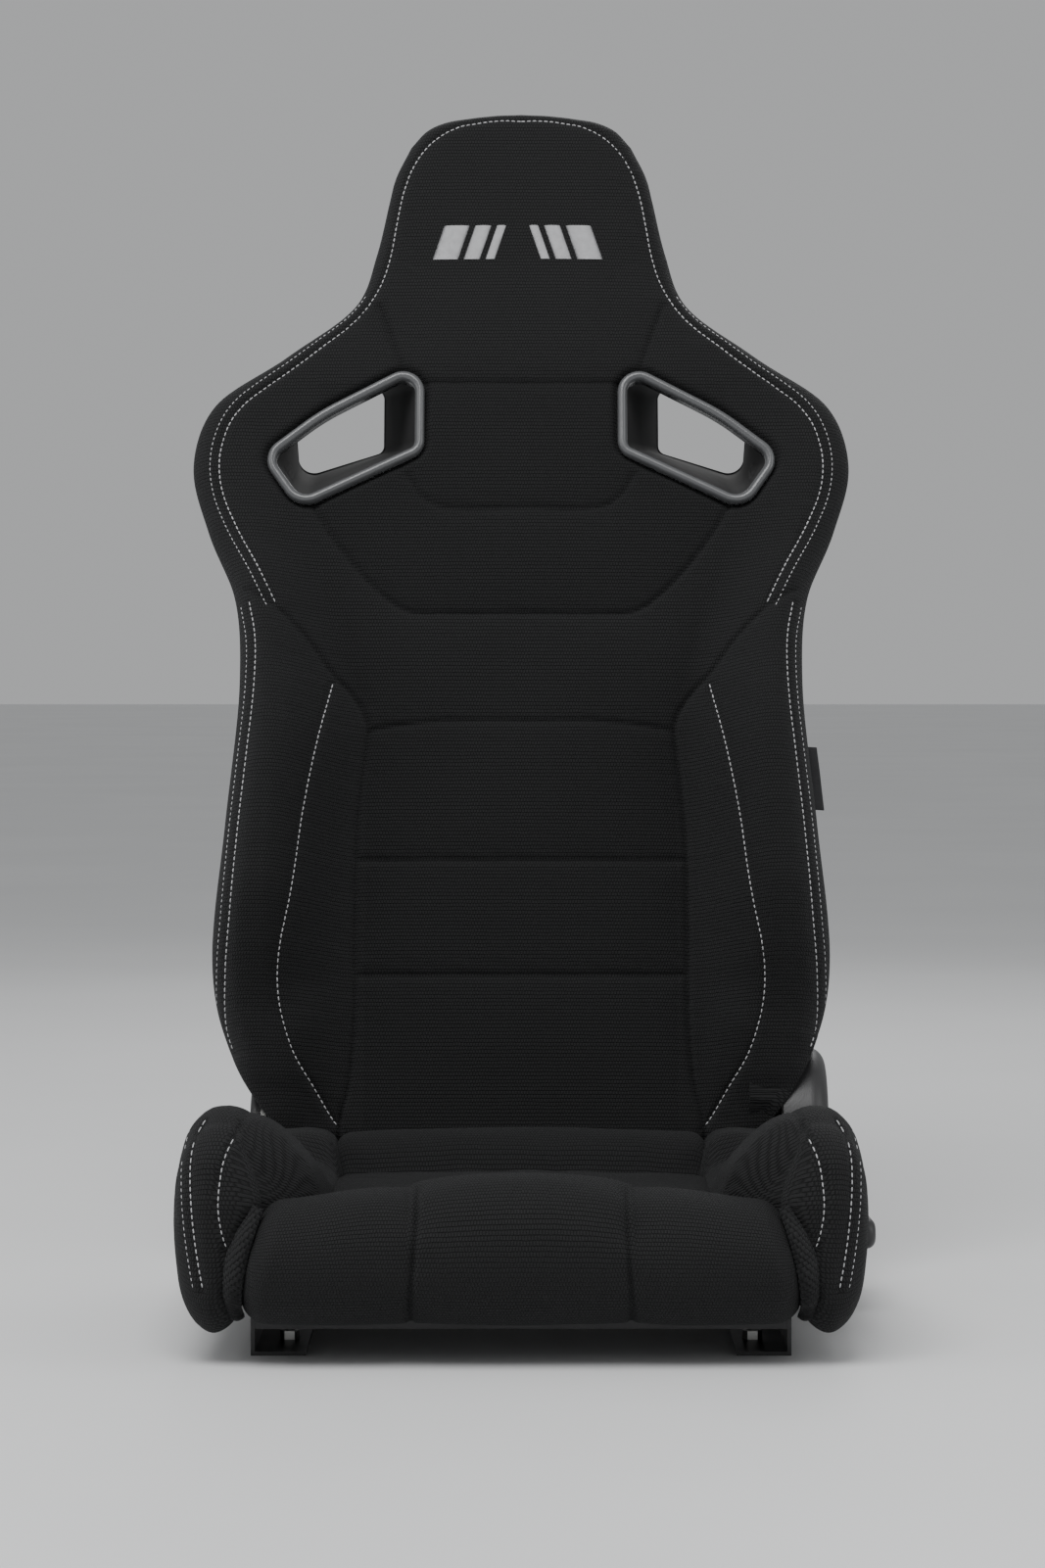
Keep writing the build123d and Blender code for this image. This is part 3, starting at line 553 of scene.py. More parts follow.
def rounded(corners, arc_steps=8, side_steps=6):
    """Closed polygon with rounded corners: the same number of points whatever its shape."""
    line = []
    count = len(corners)
    ends = []
    for i in range(count):
        before, here, after = (np.array(corners[j % count], float) for j in (i - 1, i, i + 1))
        a = (before - here) / np.linalg.norm(before - here)
        b = (after - here) / np.linalg.norm(after - here)
        half = math.acos(np.clip(a @ b, -1, 1)) / 2
        radius = CORNER_RADII[i]
        reach = radius / math.tan(half)
        middle = here + (a + b) / np.linalg.norm(a + b) * radius / math.sin(half)
        start, end = here + a * reach, here + b * reach
        first = math.atan2(*(start - middle)[::-1])
        turn = math.atan2(*(end - middle)[::-1]) - first
        turn = (turn + math.pi) % (2 * math.pi) - math.pi
        arc = [middle + radius * np.array((math.cos(first + turn * k / arc_steps),
                                           math.sin(first + turn * k / arc_steps)))
               for k in range(arc_steps + 1)]
        ends.append(arc)
    for i in range(count):
        arc, following = ends[i], ends[(i + 1) % count]
        line.extend(arc)
        for k in range(1, side_steps):
            line.append(arc[-1] + (following[0] - arc[-1]) * k / side_steps)
    return np.array(line)


def grown(line, amount):
    """A closed line moved outwards along its own normals."""
    ahead = np.roll(line, -1, axis=0) - np.roll(line, 1, axis=0)
    ahead /= np.linalg.norm(ahead, axis=1)[:, None]
    normal = np.stack([ahead[:, 1], -ahead[:, 0]], 1)
    area = 0.5 * np.sum(line[:, 0] * np.roll(line[:, 1], -1) - np.roll(line[:, 0], -1) * line[:, 1])
    return line + normal * (amount if area > 0 else -amount)


def parallel(line, gap):
    """An open line moved sideways, to the right of its direction when gap is positive."""
    ahead = np.gradient(line, axis=0)
    ahead /= np.linalg.norm(ahead, axis=1)[:, None]
    return line + np.stack([ahead[:, 1], -ahead[:, 0]], 1) * gap


EDGE_LINE = outline_through(EDGE)
CROWN_LINE = outline_through(CROWN)
BOTTOM_LINE = np.array([(0, BOTTOM_V), (EDGE[0][0], BOTTOM_V)], float)


def half_width(v):
    """Half the backrest's width at height v."""
    return np.interp(v, EDGE_LINE[:, 1], EDGE_LINE[:, 0])


def crown_lift(f):
    """Rise of the crown over its shoulders, f from -1 at the left to 1 at the right."""
    return np.interp(np.abs(f) * EDGE[-1][0], CROWN_LINE[:, 0], CROWN_LINE[:, 1]) - TOP_V


def back_seams():
    """Every sewn line on the backrest, right side: (smoothed line, depth)."""
    lines = [(HEAD_SEAM, 1.0), (NECK_SEAM, 0.8), (CROSS_SEAM, 1.0), (YOKE_SEAM, 0.8), (CHEST_SEAM, 1.0),
             (PANEL_SEAM, 1.2), (INSERT_TOP, 1.0), (INSERT_SIDE, 1.5), (FOLD_SEAM, 0.9), (OUTER_SEAM, 0.8)]
    made = [(outline_through(line, 5), depth) for line, depth in lines]
    made.extend((np.array(line, float), 1.0) for line in INSERT_CROSS)
    return made


def back_heights(x, u):
    """Height w of the backrest's front surface over (x, u), before its edge turns away."""
    a = np.abs(x)
    base = table(u, BASE_W)
    rise = smoothstep(a, table(u, SLOPE_IN), table(u, SLOPE_OUT))
    height = base + np.maximum(table(u, CREST_W) - base, 0) * rise
    corner = smoothstep(a, 150, 205) * (1 - smoothstep(u, 70, 118))
    height = height + np.maximum(table(u, CORNER_W) - height, 0) * corner
    crown = 2.2 * np.cos(np.clip(a / 150, 0, 1) * math.pi / 2) * smoothstep(u, 0, 80)
    return height + crown


EDGE_REACH = 30.0
EDGE_SHARE = 0.56
RIM_STEP = 24.0
TOP_STEP = 20.0
BACK_COLUMNS = 190
BACK_PITCH = 2.15
PUFF = 3.0
PUFF_REACH = 13.0
PUCKER = 0.35
PUCKER_REACH = 16.0
SWELL = 0.8
SEAM_DEPTH = 2.6
SEAM_WIDTH = 2.0
BEZEL_SINK = 7.0
BEZEL_BLEND = 3.6
HOLE_MARGIN = 3.0


def crown_share(v):
    """How much of the crown's rise a row at v takes up."""
    return np.clip((v - CROWN_FROM) / (TOP_V - CROWN_FROM), 0, 1) ** 2


def back_grid():
    """Grid of (x, u) over the backrest's outline, closer together along its rim."""
    hug = 1 - np.cos(np.radians(np.arange(0, 91, 7.5)))
    rows = np.concatenate([
        BOTTOM_V + RIM_STEP * hug,
        np.arange(BOTTOM_V + RIM_STEP + 2.2, TOP_V - TOP_STEP, BACK_PITCH),
        TOP_V - TOP_STEP * hug[::-1],
    ])
    inner = np.linspace(-1, 1, BACK_COLUMNS)[1:-1]
    grid_x, grid_u = [], []
    for v in rows:
        half = half_width(v)
        rim = half - EDGE_REACH * hug
        x = np.concatenate([-rim, inner * (half - EDGE_REACH), rim[::-1]])
        grid_x.append(x)
        grid_u.append(v + crown_lift(x / half) * crown_share(v))
    return np.array(grid_x), np.array(grid_u)


def sewn_heights(x, u, folded):
    """Height w with the seams sunk, the cloth between them filled out, and slight folds."""
    height = back_heights(x, u)
    seam_gap = np.full(len(x), 1e9)
    groove = np.zeros(len(x))
    for line, depth in back_seams():
        gap = distance_to(folded, line)
        seam_gap = np.minimum(seam_gap, gap)
        groove = np.maximum(groove, depth * bell(gap, SEAM_WIDTH))
    height += PUFF * (1 - np.exp(-seam_gap / PUFF_REACH)) - SEAM_DEPTH * groove
    pucker = np.sin(x * 0.21 + u * 0.37) * np.sin(u * 0.16 - x * 0.11)
    height += PUCKER * pucker * np.exp(-seam_gap / PUCKER_REACH)
    height += SWELL * np.sin(x * 0.031 + 1.1) * np.sin(u * 0.027 + 0.4)
    ring = grown(rounded(TUNNEL_FRONT), BEZEL_BAND)
    ring_gap = distance_to(folded, np.vstack([ring, ring[:1]]))
    height -= np.where(inside(folded, ring), BEZEL_SINK, BEZEL_SINK * bell(ring_gap, BEZEL_BLEND))
    return height


def mesh_panels(middle):
    """Which faces are of the open mesh cloth: the chest panel and the insert."""
    x, u = np.abs(middle[:, 0]), middle[:, 1]
    chest = outline_through(CHEST_SEAM, 4)
    order = np.argsort(chest[:, 1])
    reach = np.interp(u, chest[order, 1], chest[order, 0])
    return ((u > 437) & (u < 640) & (x < np.maximum(reach - 2, 96))) | ((u < 341) & (x < 131))


def back_cover():
    """The backrest's sewn cover: front surface and side wall in one mesh."""
    gx, gu = back_grid()
    x, u = gx.ravel(), gu.ravel()
    folded = np.stack([np.abs(x), u], 1)
    height = sewn_heights(x, u, folded)
    border = np.vstack([BOTTOM_LINE, EDGE_LINE, CROWN_LINE[::-1]])
    near = np.clip(distance_to(folded, border) / table(u, EDGE_R), 0, 1)
    wall = back_wall(x, u, FACE_FROM)
    at_edge = wall + EDGE_SHARE * (height - wall)
    w = at_edge + (height - at_edge) * quarter_round(near)

    points = np.stack([x, u, w], 1)
    index = numbered(*gx.shape)
    quads = grid_faces(index)
    in_hole = inside(folded, grown(rounded(TUNNEL_FRONT), HOLE_MARGIN))
    quads = quads[~in_hole[quads].any(axis=1)]
    loop = grid_border(index)
    rings = back_skirt(points[loop])
    along = np.stack([row_length(gx, w.reshape(gx.shape)).ravel(), u, np.zeros(len(u))], 1)
    cloth = [along]
    for ring in rings:
        drop = w[loop] - ring[:, 2]
        across = along[loop, 0] + np.sign(x[loop]) * drop
        cloth.append(np.stack([across, ring[:, 1] + drop * 0.2, np.zeros(len(loop))], 1))
    skirt = skirt_faces(loop, len(points), len(rings))[:, ::-1]
    meshy = mesh_panels(points[quads].mean(axis=1))
    kinds = np.concatenate([meshy.astype(int), np.zeros(len(skirt), int)])
    cover = make_object(
        "back_cover", np.vstack([points, *rings]), np.vstack([quads, skirt]),
        [RIB_KNIT, MESH_KNIT], BACK, kinds, np.vstack(cloth),
    )
    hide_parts("back_centre_pad", "back_bolster_left", "back_bolster_right", "shoulder_pad")
    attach(cover, "backrest")
    return cover


def row_length(x, w):
    """Distance along each row of a grid, from its middle column."""
    run = np.hypot(np.diff(x, axis=1), np.diff(w, axis=1))
    total = np.concatenate([np.zeros((len(x), 1)), np.cumsum(run, axis=1)], axis=1)
    return total - total[:, [x.shape[1] // 2]]


HINGE_CLEAR = 55.0
COVER_CLEAR = 20.0
SIDE_FROM = 190
FACE_FROM = 150


def back_wall(x, u, inner=SIDE_FROM):
    """Rear limit w of the cover: the foam's back, or what clears the hinge at the lower corners.

    The hinge has a wider cover at the right, so the clearance is larger there. It comes in from
    x = inner outwards.
    """
    clear = HINGE_CLEAR + COVER_CLEAR * smoothstep(x, 196, 217)
    hinge = np.sqrt(np.clip(clear ** 2 - np.clip(u, -clear, clear) ** 2, 0, None))
    hinge = np.where(u < clear, hinge, BACK_W)
    share = smoothstep(np.abs(x), inner, 197)
    return BACK_W + (np.maximum(hinge, BACK_W) - BACK_W) * share


SKIRT_STEPS = ((0.1, 0.05), (0.25, 0.3), (0.42, 0.8), (0.6, 1.8), (0.76, 3.2), (0.9, 5.2), (0.98, 7.6),
               (1.0, 10.0))
TUCK_X = 189
TUCK_U = 80


def back_skirt(rim):
    """Rings of the cover's side wall, from its widest line back to the shell's edge."""
    flat = rim[:, :2]
    inward = inward_of(flat)
    wall = back_wall(flat[:, 0], flat[:, 1])
    rings = []
    for share, inset in SKIRT_STEPS:
        w = rim[:, 2] + (wall - rim[:, 2]) * share
        rings.append(np.column_stack([flat + inward * inset, w]))
    tucked = rings[-1].copy()
    low = (np.abs(tucked[:, 0]) > TUCK_X) & (tucked[:, 1] < TUCK_U)
    tucked[:, 0] = np.where(low, np.sign(tucked[:, 0]) * TUCK_X, tucked[:, 0])
    tucked[:, :2] += np.where(low[:, None], 0, inward * 3)
    closed = tucked.copy()
    closed[:, 2] = BACK_W
    closed[:, :2] += inward * 3
    return [*rings, tucked, closed]


# ---------------------------------------------------------------- hard parts of the backrest
def swept_ring(line, profile):
    """Points and quads of a closed profile of (offset, w) pairs swept round a closed (x, u) line."""
    points = []
    for offset, w in profile:
        points.append(np.column_stack([grown(line, offset), np.full(len(line), w)]))
    return np.vstack(points), endless_faces(len(profile), len(line))


def sided(points, quads, side):
    """Points and quads on the right (1) or mirrored to the left (-1)."""
    if side > 0:
        return points, quads
    return points * (-1, 1, 1), quads[:, ::-1]


BEZEL_PROFILE = ((-0.4, 50), (-0.4, 61), (0.2, 63.4), (1.5, 65.0), (3.4, 65.9), (5.4, 65.6), (6.9, 64.2),
                 (7.6, 62.0), (7.9, 58.5), (7.9, 51))
REAR_PROFILE = ((0, -56), (0, -62), (1.2, -63.6), (3.6, -64.2), (6.2, -63.4), (7.4, -61.4), (7.6, -58))


# The sleeve: its w at the front and the rear, its wall, and the ribs moulded into its outer side
SLEEVE_FRONT_W = 60
SLEEVE_DEPTH = 119
SLEEVE_LAYERS = 60
SLEEVE_WALL = 2.4
ARC_STEPS = 10
SIDE_STEPS = 14
RIB_W = (12, 46)
RIB_HEIGHT = 1.3
RIB_PITCH = 3.3


def ribbed(ring, inward, w):
    """The sleeve's inside at w, with ribs raised along its outer side."""
    fade = min(1.0, (w - RIB_W[0]) / 4, (RIB_W[1] - w) / 4)
    first = 3 * (ARC_STEPS + SIDE_STEPS) + ARC_STEPS + 1
    for j in range(2, 12):
        step = 0.5 - 0.5 * math.cos(2 * math.pi * (j - 2) / RIB_PITCH)
        ring[first + j] += inward[first + j] * RIB_HEIGHT * step * fade
    return ring


def harness_trim(side, word):
    """Front bezel, rear bezel and funnel sleeve of one harness opening."""
    opening = rounded(TUNNEL_FRONT, ARC_STEPS, SIDE_STEPS)
    rear = rounded(TUNNEL_REAR, ARC_STEPS, SIDE_STEPS)
    for name, line, profile in (("harness_bezel", opening, BEZEL_PROFILE),
                                ("harness_rear_bezel", rear, REAR_PROFILE)):
        points, quads = sided(*swept_ring(line, profile), side)
        ring = make_object(f"trim_{name}_{word}", points, quads, [BEZEL_PLASTIC], BACK)
        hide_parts(f"{name}_{word}")
        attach(ring, "backrest")
    inward = grown(opening, -1.0) - opening
    walls = []
    for wall in (0.0, SLEEVE_WALL):
        layers = []
        for k in range(SLEEVE_LAYERS + 1):
            share = k / SLEEVE_LAYERS
            w = SLEEVE_FRONT_W - SLEEVE_DEPTH * share
            ring = grown(opening, wall) * (1 - share) + grown(rear, wall) * share
            if wall == 0.0 and RIB_W[0] < w < RIB_W[1]:
                ring = ribbed(ring, inward, w)
            layers.append(np.column_stack([ring, np.full(len(ring), w)]))
        walls.append(layers)
    rings = walls[0] + walls[1][::-1]
    quads = endless_faces(len(rings), len(opening))[:, [0, 3, 2, 1]]
    points, quads = sided(np.vstack(rings), quads, side)
    sleeve = make_object(f"trim_harness_sleeve_{word}", points, quads, [SLEEVE_PLASTIC], BACK)
    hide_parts(f"harness_sleeve_{word}")
    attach(sleeve, "backrest")


# Rear shell: its inset from the cover, lower edge, half width beside the hinge, rear face, edge radius
SHELL_INSET = 6.0
SHELL_LOW = 40.0
SHELL_WAIST = 186
SHELL_REAR_W = -60.0
SHELL_ROUND = 15.0
SHELL_REACH = 18
SHELL_LINE_DEPTH = 1.5
SHELL_LINE_WIDTH = 3.0
SHELL_LINES = (((0, 300), (96, 296), (150, 330), (176, 400), (182, 470)),
               ((46, 318), (50, 470), (62, 600), (56, 720), (44, 820)))
# Rim of the shell, (w, distance inwards), over its edge and back down its inside
SHELL_RIM = ((-38, 0), (-30, 0), (-22, 0), (-20.4, 0.6), (-20, 1.4), (-20.4, 2.4), (-22, 3.0), (-50, 4.0))


def shell_half(v):
    """Half the shell's width at height v, narrowed at the bottom to clear the hinge."""
    full = half_width(v) - SHELL_INSET
    return np.minimum(full, SHELL_WAIST + (full - SHELL_WAIST) * smoothstep(v, 68, 88))


def back_shell():
    """Moulded rear shell: rounded tray with shallow styling lines."""
    hug = 1 - np.cos(np.radians(np.arange(0, 91, 9)))
    rows = np.concatenate([SHELL_LOW + 16 * hug, np.arange(SHELL_LOW + 19, TOP_V - 22, 3.0),
                           TOP_V - 20 * hug[::-1]])
    inner = np.linspace(-1, 1, 120)[1:-1]
    gx, gu = [], []
    for v in rows:
        edge = shell_half(v)
        rim = edge - SHELL_REACH * hug
        x = np.concatenate([-rim, inner * (edge - SHELL_REACH), rim[::-1]])
        gx.append(x)
        gu.append(v + (crown_lift(x / edge * 0.94) - SHELL_INSET) * crown_share(v))
    flat = np.stack([np.ravel(gx), np.ravel(gu)], 1)
    index = numbered(len(rows), len(gx[0]))
    loop = grid_border(index)
    near = np.clip(distance_to(flat, np.vstack([flat[loop], flat[loop[:1]]])) / SHELL_ROUND, 0, 1)
    depth = SHELL_ROUND * (1 - quarter_round(near))
    folded = np.stack([np.abs(flat[:, 0]), flat[:, 1]], 1)
    for line in SHELL_LINES:
        depth += SHELL_LINE_DEPTH * bell(distance_to(folded, outline_through(line, 5)), SHELL_LINE_WIDTH)
    points = np.column_stack([flat, SHELL_REAR_W + depth])
    quads = grid_faces(index, turned=True)
    in_hole = inside(folded, grown(rounded(TUNNEL_REAR), HOLE_MARGIN))
    quads = quads[~in_hole[quads].any(axis=1)]
    inward = inward_of(flat[loop])
    rings = []
    for w, move in SHELL_RIM:
        rings.append(np.column_stack([flat[loop] + inward * move, np.full(len(loop), float(w))]))
    quads = np.vstack([quads, skirt_faces(loop, len(points), len(rings))])
    shell = make_object("rear_shell", np.vstack([points, *rings]), quads, [SHELL_PLASTIC], BACK)
    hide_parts("back_shell")
    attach(shell, "backrest")


# ---------------------------------------------------------------- cushion
# The thigh roll: its (y, z) section and the middle of it, half its width and that of its raised middle
ROLL_PROFILE = ((-214, 34), (-240, 30), (-264, 36), (-281, 52), (-289, 74), (-284, 98), (-270, 117),
                (-250, 126), (-231, 128), (-216, 121), (-213.5, 100), (-213.5, 60))
ROLL_MIDDLE = (-245.0, 80.0)
ROLL_HALF = 205.5
ROLL_ROUND = 20
HUMP_HALF = 88.0
ROLL_SEAM_X = 81.0
HUMP_RISE = 10.5
HUMP_AHEAD = 5.0
ROLL_FALL = 9.0
ROLL_PUFF = 2.0
ROLL_DENT = 3.6


def closed_through(points, steps):
    """Smooth closed line through points."""
    p = [tuple(q) for q in points]
    line = outline_through(p[-2:] + p + p[:2], steps)
    return line[2 * steps:(2 + len(p)) * steps]


def read_vectors(mesh, name="co"):
    """Points or normals of a mesh."""
    found = np.zeros(len(mesh.vertices) * 3, np.float32)
    mesh.vertices.foreach_get(name, found)
    return found.reshape(-1, 3).astype(float)


def write_points(mesh, points):
    mesh.vertices.foreach_set("co", points.astype(np.float32).ravel())
    mesh.update()


FILL_FRAMES = 20
FILL_SETTINGS = {
    "quality": 4,
    "mass": 0.15,
    "tension_stiffness": 12,
    "compression_stiffness": 12,
    "shear_stiffness": 6,
    "bending_stiffness": 0.4,
    "use_pressure": True,
    "vertex_group_mass": "sewn",
}


def fill_out(made, held, cap, pressure=4.0):
    """Short cloth run: a cover swells between its seams by at most cap, and held points stay put."""
    mesh = made.data
    before = read_vectors(mesh)
    sewn = made.vertex_groups.new(name="sewn")
    level = np.clip(np.round(held, 1), 0, 1)
    for share in np.unique(level):
        sewn.add([int(i) for i in np.nonzero(level == share)[0]], float(share), "REPLACE")
    cloth = made.modifiers.new("filling", "CLOTH")
    cloth.collision_settings.use_collision = False
    cloth.point_cache.frame_start = 1
    cloth.point_cache.frame_end = FILL_FRAMES
    for key, value in FILL_SETTINGS.items():
        setattr(cloth.settings, key, value)
    cloth.settings.uniform_pressure_force = pressure
    cloth.settings.effector_weights.gravity = 0
    scene = bpy.context.scene
    for number in range(1, FILL_FRAMES + 1):
        scene.frame_set(number)
    settled = made.evaluated_get(bpy.context.evaluated_depsgraph_get())
    move = read_vectors(settled.data) - before
    made.modifiers.remove(cloth)
    made.vertex_groups.remove(sewn)
    scene.frame_set(1)
    size = np.linalg.norm(move, axis=1)
    keep = np.tanh(size / (cap * MM)) * cap * MM / np.maximum(size, 1e-9)
    write_points(mesh, before + move * keep[:, None])


def roll_section(ring, x):
    """The thigh roll's (y, z) section at x: rounded ends, raised middle, two seams, slight folds."""
    middle = np.array(ROLL_MIDDLE)
    t = max(0.0, (abs(x) - (ROLL_HALF - ROLL_ROUND)) / ROLL_ROUND)
    pull = ROLL_ROUND * (1 - math.sqrt(max(0.0, 1 - t * t)))
    out = ring - middle
    size = np.linalg.norm(out, axis=1)
    shape = middle + out * ((size - pull) / size)[:, None]
    y, z = shape[:, 0].copy(), shape[:, 1].copy()
    high = smoothstep(z, 66, 122)
    front = smoothstep(-y, 225, 262)
    dome = math.sqrt(max(0.0, 1 - (x / HUMP_HALF) ** 2)) if abs(x) < HUMP_HALF else 0.0
    z += HUMP_RISE * dome * high - ROLL_FALL * smoothstep(abs(x), 105, 200) * high
    y -= HUMP_AHEAD * dome * front * smoothstep(z, 50, 110)
    from_seam = abs(abs(x) - ROLL_SEAM_X)
    puff = ROLL_PUFF * (1 - math.exp(-from_seam / 12))
    dent = ROLL_DENT * math.exp(-(from_seam / 2.2) ** 2)
    ripple = 0.9 * np.sin(z * 0.19 + x * 0.05) * math.exp(-from_seam / 14)
    ripple = ripple + 0.6 * np.sin(x * 0.047 + z * 0.06)
    out = np.column_stack([y, z]) - middle
    size = np.linalg.norm(out, axis=1)
    moved = middle + out * ((size + (puff - dent + ripple) * front) / size)[:, None]
    return moved, pull


def roll_end(rim, rim_cloth, sign, first):
    """Flat end of the roll, drawn in to a small last face: rings, their cloth, and that face."""
    centre = rim.mean(axis=0)
    rings, cloths = [], []
    for shrink in (0.8, 0.55, 0.3):
        rings.append(centre + (rim - centre) * shrink + (sign * 2.0 * (1 - shrink), 0, 0))
        cloths.append(rim_cloth + (sign * 30 * (1 - shrink), 0, 0))
    last = first + 2 * len(rim) + np.arange(len(rim))
    return rings, cloths, tuple(last if sign > 0 else last[::-1])


def thigh_roll():
    """The roll under the thighs, as one closed cover."""
    ring = closed_through(ROLL_PROFILE, 13)
    columns = rounded_span(ROLL_HALF, ROLL_ROUND, 180)
    run = length_along(ring)
    points, cloth = [], []
    for x in columns:
        moved, pull = roll_section(ring, x)
        narrow = 1 - 0.066 * smoothstep(moved[:, 1], 40, 124)
        points.append(np.column_stack([x * narrow, moved]))
        cloth.append(np.column_stack([np.full(len(run), x + math.copysign(pull, x)), run, run * 0]))
    index = numbered(len(columns), len(ring))
    faces = [tuple(q) for q in tube_faces(index)]
    for column, sign in ((0, -1), (len(columns) - 1, 1)):
        first = len(points) * len(ring)
        rings, cloths, end = roll_end(points[column], cloth[column], sign, first)
        points.extend(rings)
        cloth.extend(cloths)
        strips = skirt_faces(index[column], first, len(rings))
        faces.extend(tuple(q) for q in (strips if sign > 0 else strips[:, ::-1]))
        faces.append(end)
    roll = make_object("thigh_roll", np.vstack(points), faces, [SEAT_KNIT], cloth=np.vstack(cloth))
    x, y, z = (read_vectors(roll.data) / MM).T
    held = bell(np.abs(x) - ROLL_SEAM_X, 3.0) + smoothstep(np.abs(x), ROLL_HALF - 16, ROLL_HALF - 5)
    held = held + 1 - smoothstep(z, 36, 44) + smoothstep(y, -232, -222)
    fill_out(roll, held, cap=3.0, pressure=12.0)
    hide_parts("thigh_roll_pad")
    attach(roll, "base")


# Height of the right cushion bolster's crest, as (y, z)
CREST_LINE = ((-272, 170), (-242, 173), (-220, 179), (-200, 182), (-150, 178), (-60, 164), (8, 150),
              (68, 134), (120, 131), (132, 123), (143, 106))
BOLSTER_FRONT = -273.0
DOME = 32.0
DOME_REACH = 40.0
SPINE_X = 229.0
BOLSTER_OUT_X = 254.0
HINGE_Y = 84


def bolster_ring(y, steps=14):
    """Cross-section of the right cushion bolster at y: a closed (x, z) line."""
    top = float(table(y, CREST_LINE))
    wing = float(smoothstep(y, -250, -206))
    shelf = float(smoothstep(y, 30, 60))
    front = np.array([(206, top - 20), (199, 131), (197, 114), (203, 96), (205, 80), (206, 60)], float)
    slope = np.array([(189, top - 11), (171, max(top - 27, 116)), (155, max(top - 48, 108)), (147, 98),
                      (147, 74), (206, 62)], float)
    rear = np.array([(190, top - 2), (173, top - 1), (157, top - 5), (148.5, 112), (147, 80),
                     (206, 62)], float)
    inner = front + (slope - front) * wing
    inner = inner + (rear - inner) * shelf
    outer = [(208, 40), (216, 28), (227, 23), (238, 30), (247, 46), (252, 72), (254, 118), (250, top - 22),
             (241, top - 7), (227, top), (210, top - 2)]
    ring = closed_through(outer + [tuple(point) for point in inner], steps)
    limit = BOLSTER_OUT_X
    if y >= HINGE_Y:
        limit = 197 + 57 * math.sqrt(max(0.0, 1 - ((y - HINGE_Y) / 15.0) ** 2))
    ring[:, 0] = np.minimum(ring[:, 0], limit - 0.02 * np.abs(ring[:, 1] - 100) * (limit < BOLSTER_OUT_X))
    return ring


def bolster_lean(z):
    """How far the front face falls back at a height."""
    return np.interp(z, (22, 64, 120, 150, 180), (9, 0, 0, 6, 15))


def seat_bolster_mesh():
    """Points and faces of the right cushion bolster: a domed front, then sections going back."""
    rows = []
    for angle in np.radians(np.arange(0, 90, 6)):
        ring = bolster_ring(BOLSTER_FRONT + DOME)
        middle = np.column_stack([np.full(len(ring), SPINE_X), np.clip(ring[:, 1], 54, 143)])
        out = ring - middle
        size = np.linalg.norm(out, axis=1)
        shrink = 1 - (1 - math.sin(angle)) * np.minimum(1, DOME_REACH / np.maximum(size, 1e-6))
        rows.append((BOLSTER_FRONT + DOME * (1 - math.cos(angle)), middle + out * shrink[:, None]))
    for y in np.concatenate([np.arange(BOLSTER_FRONT + DOME, HINGE_Y, 3.0), np.arange(HINGE_Y, 101, 1.5),
                             np.arange(103, 144, 3.0)]):
        rows.append((y, bolster_ring(y)))
    points = []
    for y, ring in rows:
        lean = bolster_lean(ring[:, 1]) * (1 - smoothstep(y, -262, -200))
        points.append(np.column_stack([ring[:, 0], y + lean, ring[:, 1]]))
    index = numbered(len(points), len(points[0]))
    faces = [tuple(q[::-1]) for q in tube_faces(index)] + [tuple(index[-1][::-1])]
    return np.vstack(points), faces


def press(made, seams, depth, width, puff, reach=12.0):
    """Sinks sewn lines, 3-D polylines in millimetres, into a padded piece; returns each point's gap."""
    mesh = made.data
    points = read_vectors(mesh) / MM
    normals = read_vectors(mesh, "normal")
    gap = np.full(len(points), 1e9)
    for line in seams:
        for a, b in zip(line[:-1], line[1:]):
            run = b - a
            t = np.clip(((points - a) @ run) / max(run @ run, 1e-9), 0, 1)
            gap = np.minimum(gap, np.linalg.norm(points - a - t[:, None] * run, axis=1))
    move = puff * (1 - np.exp(-gap / reach)) - depth * bell(gap, width)
    write_points(mesh, (points + normals * move[:, None]) * MM)
    return gap


def weave_round(made, axis_y, axis_z, reach):
    """Cloth coordinates that run over a roll-like front edge and back along its top."""
    mesh = made.data
    x, y, z = (read_vectors(mesh) / MM - (0, axis_y, axis_z)).T
    angle = np.arctan2(z, -y)
    ahead = y < 0
    radius = np.where(ahead, np.hypot(y, z), np.abs(z))
    along = np.where(ahead, angle * reach, (math.pi / 2) * reach * np.sign(z) + y * np.sign(z))
    across = x + np.sign(x) * (reach - radius)
    write_cloth(mesh, np.column_stack([across, along, along * 0]))


# Seams of the right cushion bolster: two on its front as (x, z), one along its crest as (x, y, z)
BOLSTER_FOLD = ((204, 178), (210, 168), (217, 153), (220, 136), (221, 118), (219, 102), (216, 91), (213, 84))
BOLSTER_OUTER = ((234, 176), (240, 165), (242, 145), (240, 110), (236.5, 83), (232, 58))
BOLSTER_CREST = ((204, -240, 176), (206, -200, 180), (206, -150, 176), (204, -60, 162), (200, 8, 148),
                 (192, 60, 130))
BOLSTER_OUTER_GAP = 7.0


def surface_tree(made):
    """Search tree of a piece's surface, in world metres."""
    points = [made.matrix_world @ v.co for v in made.data.vertices]
    return BVHTree.FromPolygons(points, [tuple(p.vertices) for p in made.data.polygons])


def hits(tree, starts, towards):
    """World points and normals where rays from the starts meet a piece."""
    cast = [tree.ray_cast(start, towards)[:2] for start in starts]
    return [(np.array(hit), np.array(normal)) for hit, normal in cast if hit is not None]


def onto_front(tree, line):
    """Where (x, z) points in millimetres meet the front of a cushion piece."""
    return hits(tree, [Vector((x * MM, -0.45, z * MM)) for x, z in line], Vector((0, 1, 0)))


